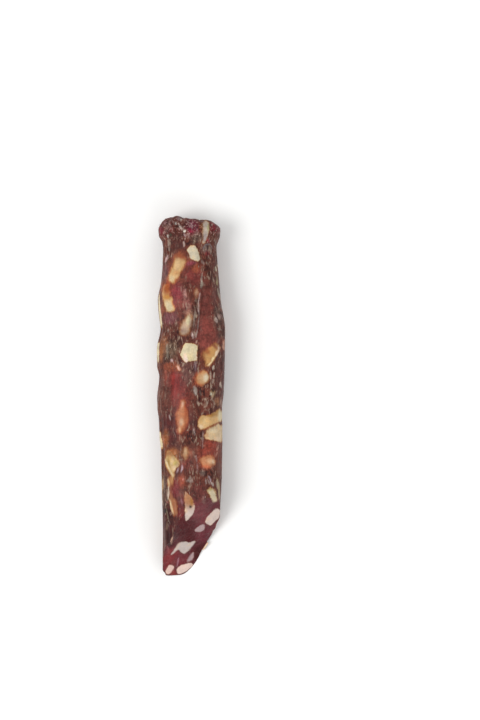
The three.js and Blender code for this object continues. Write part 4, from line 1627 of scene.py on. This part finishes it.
@dataclass(frozen=True)
class MarbledFlesh:
    """Shared effect: pieces of fat in lean, with a broken edge and uneven tone."""

    name: str = "marbled_flesh"
    ripple: Noise = Noise(340.0, 4.0, 0.68)
    grain: Noise = Noise(900.0, 4.0, 0.65)
    patch: Noise = Noise(260.0, 2.0, 0.5)
    green_halo: float = 0.45
    fat_grain: float = 0.4
    aged: Colour = (1.0, 0.84, 0.62)
    aged_share: float = 0.45
    aged_range: Point = (0.0, 0.2)

    def group(self) -> bpy.types.NodeTree:
        """The shader group, built once.

        Returns:
            A group that puts out the colour and the fat's mask.
        """
        if self.name in bpy.data.node_groups:
            return bpy.data.node_groups[self.name]
        tree, t, given, end = new_group(
            self.name,
            {"Vector": VECTOR, "Lean": COLOUR, "Fat": COLOUR, "Edge": 0.0, "Softness": 0.5,
             "Wobble": 1.0, "Bite": 0.0, "Halo": 1.0, "Grain": 0.3},
            {"Colour": COLOUR, "Fat Mask": FLOAT},
        )
        vector, halo, soft = given["Vector"], given["Halo"], given["Softness"]
        ripple, grain, patch = (
            t.minus(t.noise(vector, kind), 0.5) for kind in (self.ripple, self.grain, self.patch)
        )
        edge = t.plus(given["Edge"], t.times(ripple, given["Wobble"]))
        edge = t.plus(edge, given["Bite"])
        mask = t.remap(edge, t.times(soft, -1.0), soft)
        through = t.add("ShaderNodeCombineXYZ", {
            "X": mask,
            "Y": t.math("POWER", mask, t.plus(1.0, t.times(halo, self.green_halo))),
            "Z": t.math("POWER", mask, t.plus(1.0, halo)),
        })
        shade = t.times(t.plus(grain, patch), given["Grain"])
        lean = t.add("ShaderNodeHueSaturation", {
            "Color": given["Lean"], "Value": t.plus(1.0, shade),
        }).outputs[0]
        fat = t.add("ShaderNodeHueSaturation", {
            "Color": given["Fat"], "Value": t.plus(1.0, t.times(shade, self.fat_grain)),
        }).outputs[0]
        share = t.times(t.remap(patch, *self.aged_range), self.aged_share)
        yellowed = t.mix(share, fat, t.mix(1.0, fat, self.aged, "MULTIPLY"))
        t.feed(end.inputs["Colour"], t.mixed(
            "Vector", through.outputs[0], lean, yellowed, by="Vector", data_type="VECTOR",
            factor_mode="NON_UNIFORM",
        ))
        t.feed(end.inputs["Fat Mask"], mask)
        return tree


@dataclass(frozen=True)
class CasingFinish:
    """Dried casing with fat and lean showing through, greyed by bloom, with painted shade in its
    creases.
    """

    name: str = "dried_casing"
    bloom_colour: Colour = BLOOM
    end_bloom_colour: Colour = (176, 142, 134)
    crease_shade_colour: Colour = UMBER
    drawn: Point = (610.0, 165.0)
    knotted: Point = (560.0, 520.0)
    bite: float = 1.6
    wobble: float = 2.6
    grain: float = 1.7
    fat_bare: float = 0.85
    patches: Point = (0.4, 0.6)
    patch_share: Point = (0.3, 1.0)
    bloom_share: float = 0.9
    least_relief: float = 0.35
    roughness: Point = (0.4, 0.62)
    gloss: Gloss = Gloss(0.8, 0.0008, 0.17)

    def build(self) -> bpy.types.Material:
        """Makes the material.

        Returns:
            The material.
        """
        material, t, place = new_material(self.name)
        end = t.attribute("end")
        drawn, knotted = t.creases(place, self.drawn), t.creases(place, self.knotted)
        dark, light, height = (
            t.mixed("Float", end, drawn[label], knotted[label], data_type="FLOAT")
            for label in ("Dark", "Light", "Height")
        )
        bite = t.times(t.minus(height, 0.5), self.bite)
        flesh = t.flesh(place, Wobble=self.wobble, Bite=bite, Grain=self.grain)
        bare = t.minus(1.0, t.times(flesh["Fat Mask"], self.fat_bare))
        amount = t.times(t.attribute("bloom"), bare)
        patchy = t.times(light, t.remap(drawn["Mottle"], *self.patches, self.patch_share))
        share = t.times(amount, self.bloom_share)
        pale = t.mix(end, surface(self.bloom_colour), surface(self.end_bloom_colour))
        colour = t.mix(t.times(patchy, share), flesh["Colour"], pale)
        # Umber where the fine creases are deepest, in the bloomed parts: painted shade in their
        # hollows
        colour = t.mix(t.times(dark, share), colour, surface(self.crease_shade_colour))
        relief = t.times(height, t.plus(self.least_relief, amount))
        self.gloss.dress(t, colour, t.remap(amount, 0.0, 1.0, self.roughness), relief)
        return material


@dataclass(frozen=True)
class BloomFinish:
    """Dry chalky bloom, or the pale edge of a fold in the casing."""

    name: str
    pale: Colour
    dull: Colour
    roughness: float = 0.8
    marks: Point = (900.0, 300.0)
    mottle: Point = (0.38, 0.62)
    gloss: Gloss = Gloss(0.4, 0.0001, 0.25)

    def build(self) -> bpy.types.Material:
        """Makes the material.

        Returns:
            The material.
        """
        material, t, place = new_material(self.name)
        marks = t.creases(place, self.marks)
        share = t.remap(marks["Mottle"], *self.mottle)
        colour = t.mix(share, surface(self.dull), surface(self.pale))
        self.gloss.dress(t, colour, self.roughness, marks["Height"])
        return material


@dataclass(frozen=True)
class CutFinish:
    """Fresh cut face: moist lean in coarse grains with white fat, and faint knife marks."""

    name: str = "fresh_cut"
    knife_turn: float = math.radians(-48)
    knife_marks: Point = (520.0, 90.0)
    knife_share: float = 0.04
    wobble: float = 1.5
    halo: float = 0.15
    grain: float = 0.95
    seam_scale: float = 520.0
    seam_range: Point = (0.09, 0.0)
    seam_dark: float = 0.3
    seam_depth: float = 0.25
    roughness: Point = (0.38, 0.5)
    gloss: Gloss = Gloss(0.5, 0.0004, 0.1)

    def build(self) -> bpy.types.Material:
        """Makes the material.

        Returns:
            The material.
        """
        material, t, place = new_material(self.name)
        turn = (0.0, 0.0, self.knife_turn)
        turned = t.add("ShaderNodeMapping", {"Vector": place, "Rotation": turn}).outputs[0]
        flesh = t.flesh(place, Wobble=self.wobble, Halo=self.halo, Grain=self.grain)
        marks = t.creases(turned, self.knife_marks)
        grains = t.add("ShaderNodeTexVoronoi", {
            "Vector": place, "Scale": self.seam_scale,
        }, feature="DISTANCE_TO_EDGE")
        seam = t.remap(grains.outputs["Distance"], *self.seam_range)
        lean_seam = t.times(seam, t.minus(1.0, flesh["Fat Mask"]))
        dark = t.times(lean_seam, self.seam_dark)
        colour = t.mix(dark, flesh["Colour"], surface(CUT_DARK))
        light = t.times(marks["Light"], self.knife_share)
        colour = t.mix(light, colour, surface(PINK_WHITE))
        height = t.minus(marks["Height"], t.times(seam, self.seam_depth))
        rough = t.remap(flesh["Fat Mask"], 0.0, 1.0, self.roughness)
        self.gloss.dress(t, colour, rough, height)
        return material


@dataclass(frozen=True)
class SkinScatter:
    """Small marks of one kind that follow the casing, set out by a Geometry Nodes tree."""

    name: str
    where: str
    per_square_metre: float
    across: float
    along: float
    thick: float
    seed: int
    finish: BloomFinish
    width_range: Point = (0.55, 1.5)
    length_range: Point = (0.4, 1.6)

    def tree(self) -> bpy.types.NodeTree:
        """Builds the tree: points on the skin, a small grain on each, laid along the folds.

        Returns:
            The Geometry Nodes tree.
        """
        tree = bpy.data.node_groups.new(self.name, "GeometryNodeTree")
        kinds = {
            "Geometry": "NodeSocketGeometry", "Density": FLOAT, "Across": FLOAT, "Along": FLOAT,
            "Thick": FLOAT, "Seed": "NodeSocketInt", "Finish": "NodeSocketMaterial",
        }
        for label, kind in kinds.items():
            tree.interface.new_socket(name=label, in_out="INPUT", socket_type=kind)
        tree.interface.new_socket(
            name="Geometry", in_out="OUTPUT", socket_type=kinds["Geometry"]
        )
        t = NodeTree(tree)
        given, end = t.add("NodeGroupInput").outputs, t.add("NodeGroupOutput")
        where, run = (
            t.add("GeometryNodeInputNamedAttribute", {"Name": name}, data_type=kind).outputs[0]
            for name, kind in ((self.where, "FLOAT"), ("fold_run", "FLOAT_VECTOR"))
        )
        points = t.add("GeometryNodeDistributePointsOnFaces", {
            "Mesh": given["Geometry"], "Density": t.times(given["Density"], where),
            "Seed": given["Seed"],
        }, distribute_method="RANDOM").outputs
        upright = t.add(
            "FunctionNodeAlignRotationToVector", {"Vector": points["Normal"]}, axis="Z"
        ).outputs[0]
        laid = t.add("FunctionNodeAlignRotationToVector", {
            "Rotation": upright, "Vector": run,
        }, axis="Y", pivot_axis="Z").outputs[0]
        width, length = (
            t.add("FunctionNodeRandomValue", {"Min": low, "Max": high, "Seed": seed},
                  data_type="FLOAT").outputs["Value"]
            for low, high, seed in ((*self.width_range, 0), (*self.length_range, 7))
        )
        size = t.add("ShaderNodeCombineXYZ", {
            "X": t.times(given["Across"], width),
            "Y": t.times(given["Along"], length),
            "Z": given["Thick"],
        }).outputs[0]
        grain = t.add("GeometryNodeMeshIcoSphere", {"Radius": 1.0, "Subdivisions": 1})
        placed = t.add("GeometryNodeInstanceOnPoints", {
            "Points": points["Points"], "Instance": grain.outputs["Mesh"],
            "Rotation": laid, "Scale": size,
        }).outputs[0]
        real = t.add("GeometryNodeRealizeInstances", {"Geometry": placed}).outputs[0]
        smooth = t.add("GeometryNodeSetShadeSmooth", {"Geometry": real}).outputs[0]
        dressed = t.add("GeometryNodeSetMaterial", {
            "Geometry": smooth, "Material": given["Finish"],
        }).outputs[0]
        t.feed(end.inputs["Geometry"], dressed)
        return tree

    def build(self, link: bpy.types.Object) -> bpy.types.Object:
        """Sets the marks on the link and makes them one plain mesh.

        Args:
            link: The link's object.

        Returns:
            The marks as one object.
        """
        host = new_object(f"{self.name}_host", link.data)
        modifier = host.modifiers.new("scatter", "NODES")
        modifier.node_group = self.tree()
        values = {
            "Density": self.per_square_metre, "Across": self.across, "Along": self.along,
            "Thick": self.thick, "Seed": self.seed, "Finish": self.finish.build(),
        }
        for item in modifier.node_group.interface.items_tree:
            if item.in_out == "INPUT" and item.name in values:
                modifier[item.identifier] = values[item.name]
        evaluated = host.evaluated_get(bpy.context.evaluated_depsgraph_get())
        mesh = bpy.data.meshes.new_from_object(evaluated)
        mesh.name = self.name
        bpy.data.objects.remove(host)
        places = np.empty(3 * len(mesh.vertices), np.float32)
        mesh.vertices.foreach_get("co", places)
        inside = held(places.reshape(-1, 3)).astype(np.float32)
        mesh.vertices.foreach_set("co", inside.ravel())
        return new_object(self.name, mesh)


@dataclass(frozen=True)
class Studio:
    """Pale floor, soft light and the camera straight above the link."""

    floor_size: float = 6.0
    floor_colour: Colour = (0.88, 0.88, 0.87)
    floor_roughness: float = 0.9
    lamps: tuple[tuple[str, tuple[float, float, float], float, float], ...] = (
        ("key_light", (-1.6, -0.3, 2.4), 1.6, 42.0),
        ("fill_light", (1.2, -1.8, 2.2), 2.0, 12.0),
    )
    air: float = 0.8
    frame_height: float = 0.4608
    middle: Point = (0.03139, 0.02362)
    stand_off: float = 1.6
    focus_height: float = FOCUS_HEIGHT * MM
    sensor: float = 36.0

    def floor(self) -> None:
        """Makes the pale floor."""
        half = self.floor_size / 2
        corners = [(-half, -half, 0), (half, -half, 0), (half, half, 0), (-half, half, 0)]
        mesh = bpy.data.meshes.new("studio_floor")
        mesh.from_pydata(corners, [], [(0, 1, 2, 3)])
        material = bpy.data.materials.new("pale_floor")
        material.use_nodes = True
        shader = material.node_tree.nodes["Principled BSDF"]
        shader.inputs["Base Color"].default_value = (*self.floor_colour, 1.0)
        shader.inputs["Roughness"].default_value = self.floor_roughness
        mesh.materials.append(material)
        made = new_object("studio_floor", mesh)

    def lights(self) -> None:
        """Sets a large soft light above to the left, a weak one to the right, and pale air."""
        for name, place, size, power in self.lamps:
            lamp = bpy.data.lights.new(name, "AREA")
            lamp.shape, lamp.size, lamp.energy = "DISK", size, power
            made = new_object(name, lamp)
            made.location = place
            made.rotation_euler = (-Vector(place)).to_track_quat("-Z", "Y").to_euler()
        world = bpy.data.worlds.new("pale_air")
        world.use_nodes = True
        background = world.node_tree.nodes["Background"].inputs
        background["Color"].default_value = (1.0, 1.0, 1.0, 1.0)
        background["Strength"].default_value = self.air
        bpy.context.scene.world = world

    def camera(self) -> None:
        """Sets the camera straight above, with a long lens as in the photograph."""
        lens = bpy.data.cameras.new("camera")
        lens.sensor_fit = "VERTICAL"
        lens.sensor_height = lens.sensor_width = self.sensor
        lens.lens = self.sensor * self.stand_off / self.frame_height
        lens.clip_end = 20.0
        made = new_object("camera", lens)
        made.location = (*self.middle, self.focus_height + self.stand_off)
        bpy.context.scene.camera = made
        bpy.context.scene.view_settings.view_transform = "Standard"

    def build(self) -> None:
        """Builds the floor, the lights and the camera."""
        self.floor()
        self.lights()
        self.camera()


@dataclass(frozen=True)
class RimFlake:
    """Thin pale lip of casing that stands off the edge of the cut, rooted in the link's side."""

    name: str = "rim_flake"
    start: Point = (10.8, -93.9)
    end: Point = (7.3, -98.6)
    lip: float = 0.46
    rooted: Point = (1.9, 1.2)
    thick: float = 0.3
    curl: float = 0.12
    curl_turns: float = 9
    stations: int = 18
    around: int = 12
    side_band: float = 1.4
    side_depth: float = 0.5
    pale: BloomFinish = BloomFinish("pale_lip", (232, 208, 176), (222, 186, 158), 0.5)
    root: BloomFinish = BloomFinish("lip_root", (104, 54, 50), (84, 42, 42), 0.45)

    def side_height(self, skin: Array, y: float) -> float:
        """Height of the link's right side where it is widest at a y."""
        near = skin[np.abs(skin[:, 1] - y) < self.side_band]
        return near[near[:, 0] > near[:, 0].max() - self.side_depth][:, 2].mean()

    def build(self, link: bpy.types.Object, shift: Point) -> bpy.types.Object:
        """Makes the flake along the widest place of the link's side.

        Args:
            link: The link's object.
            shift: How far the link was moved to lie centred in its box.

        Returns:
            The flake as one closed mesh.
        """
        skin = np.empty(3 * len(link.data.vertices), np.float32)
        link.data.vertices.foreach_get("co", skin)
        skin = skin.reshape(-1, 3) / MM - [*shift, 0]
        run = np.subtract(self.end, self.start)
        outward = np.array([-run[1], run[0]]) / np.hypot(*run)
        turn = np.arange(self.around) / self.around * math.tau
        rings, offsets = [], []
        for t in np.linspace(0, 1, self.stations):
            full = (1 - abs(2 * t - 1) ** 4) ** 0.5 + 0.02
            seen = np.add(self.start, t * run)
            height = self.side_height(skin, seen[1])
            place = np.array(EYE) + (seen - EYE) / magnified(height)
            inner = self.rooted[0] + (self.rooted[1] - self.rooted[0]) * t
            across = (np.cos(turn) * (self.lip + inner) + self.lip - inner) / 2
            across = np.where(across > 0, across * full, across)
            curl = self.curl * math.sin(self.curl_turns * t)
            lift = np.sin(turn) * self.thick / 2 * full + curl
            rings.append(np.column_stack([place + across[:, None] * outward, height + lift]))
            offsets.append(across)
        points = np.vstack([*rings, [rings[0].mean(axis=0)], [rings[-1].mean(axis=0)]])
        reach = np.array(offsets[:-1])
        middles = (reach + np.roll(reach, -1, axis=1)) / 2
        slots = np.where(middles > -self.lip, 0, 1).ravel().tolist() + [1] * (2 * self.around)
        mesh = new_mesh(self.name, points + [*shift, 0], self.stations, slots)
        for finish in (self.pale, self.root):
            mesh.materials.append(finish.build())
        return new_object(self.name, mesh)


@dataclass
class Sausage:
    """The whole sausage: its skin in its two finishes, and the small marks that stand on it."""

    skin: LinkSkin = field(default_factory=LinkSkin)
    casing: CasingFinish = field(default_factory=CasingFinish)
    cut: CutFinish = field(default_factory=CutFinish)
    flake: RimFlake = field(default_factory=RimFlake)
    scatters: tuple[SkinScatter, ...] = (
        SkinScatter(
            "bloom_flecks", "fleck_field", per_square_metre=18000.0, across=0.00016, along=0.0009,
            thick=0.00008, seed=4,
            finish=BloomFinish("chalky_bloom", (176, 160, 146), (134, 116, 104)),
        ),
        SkinScatter(
            "casing_folds", "fold_field", per_square_metre=90000.0, across=0.00014, along=0.0017,
            thick=0.0001, seed=9,
            finish=BloomFinish("fold_edge", (158, 132, 122), (104, 72, 64), 0.55),
        ),
    )

    def build(self) -> list[bpy.types.Object]:
        """Builds and dresses the sausage.

        Returns:
            Its pieces.
        """
        link = self.skin.build()
        link.data.materials.append(self.casing.build())
        link.data.materials.append(self.cut.build())
        pieces = [link, self.flake.build(link, self.skin.shift)]
        pieces += [scatter.build(link) for scatter in self.scatters]
        for piece in pieces:
            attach(piece, "root")
            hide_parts(NODE)
        return pieces


def main() -> None:
    """Builds the studio and the sausage, and reports each piece."""
    logging.basicConfig(level=logging.INFO, format="%(name)s: %(message)s")
    Studio().build()
    for piece in Sausage().build():
        log.info("%s: %d faces", piece.name, len(piece.data.polygons))


if __name__ == "__main__":
    main()
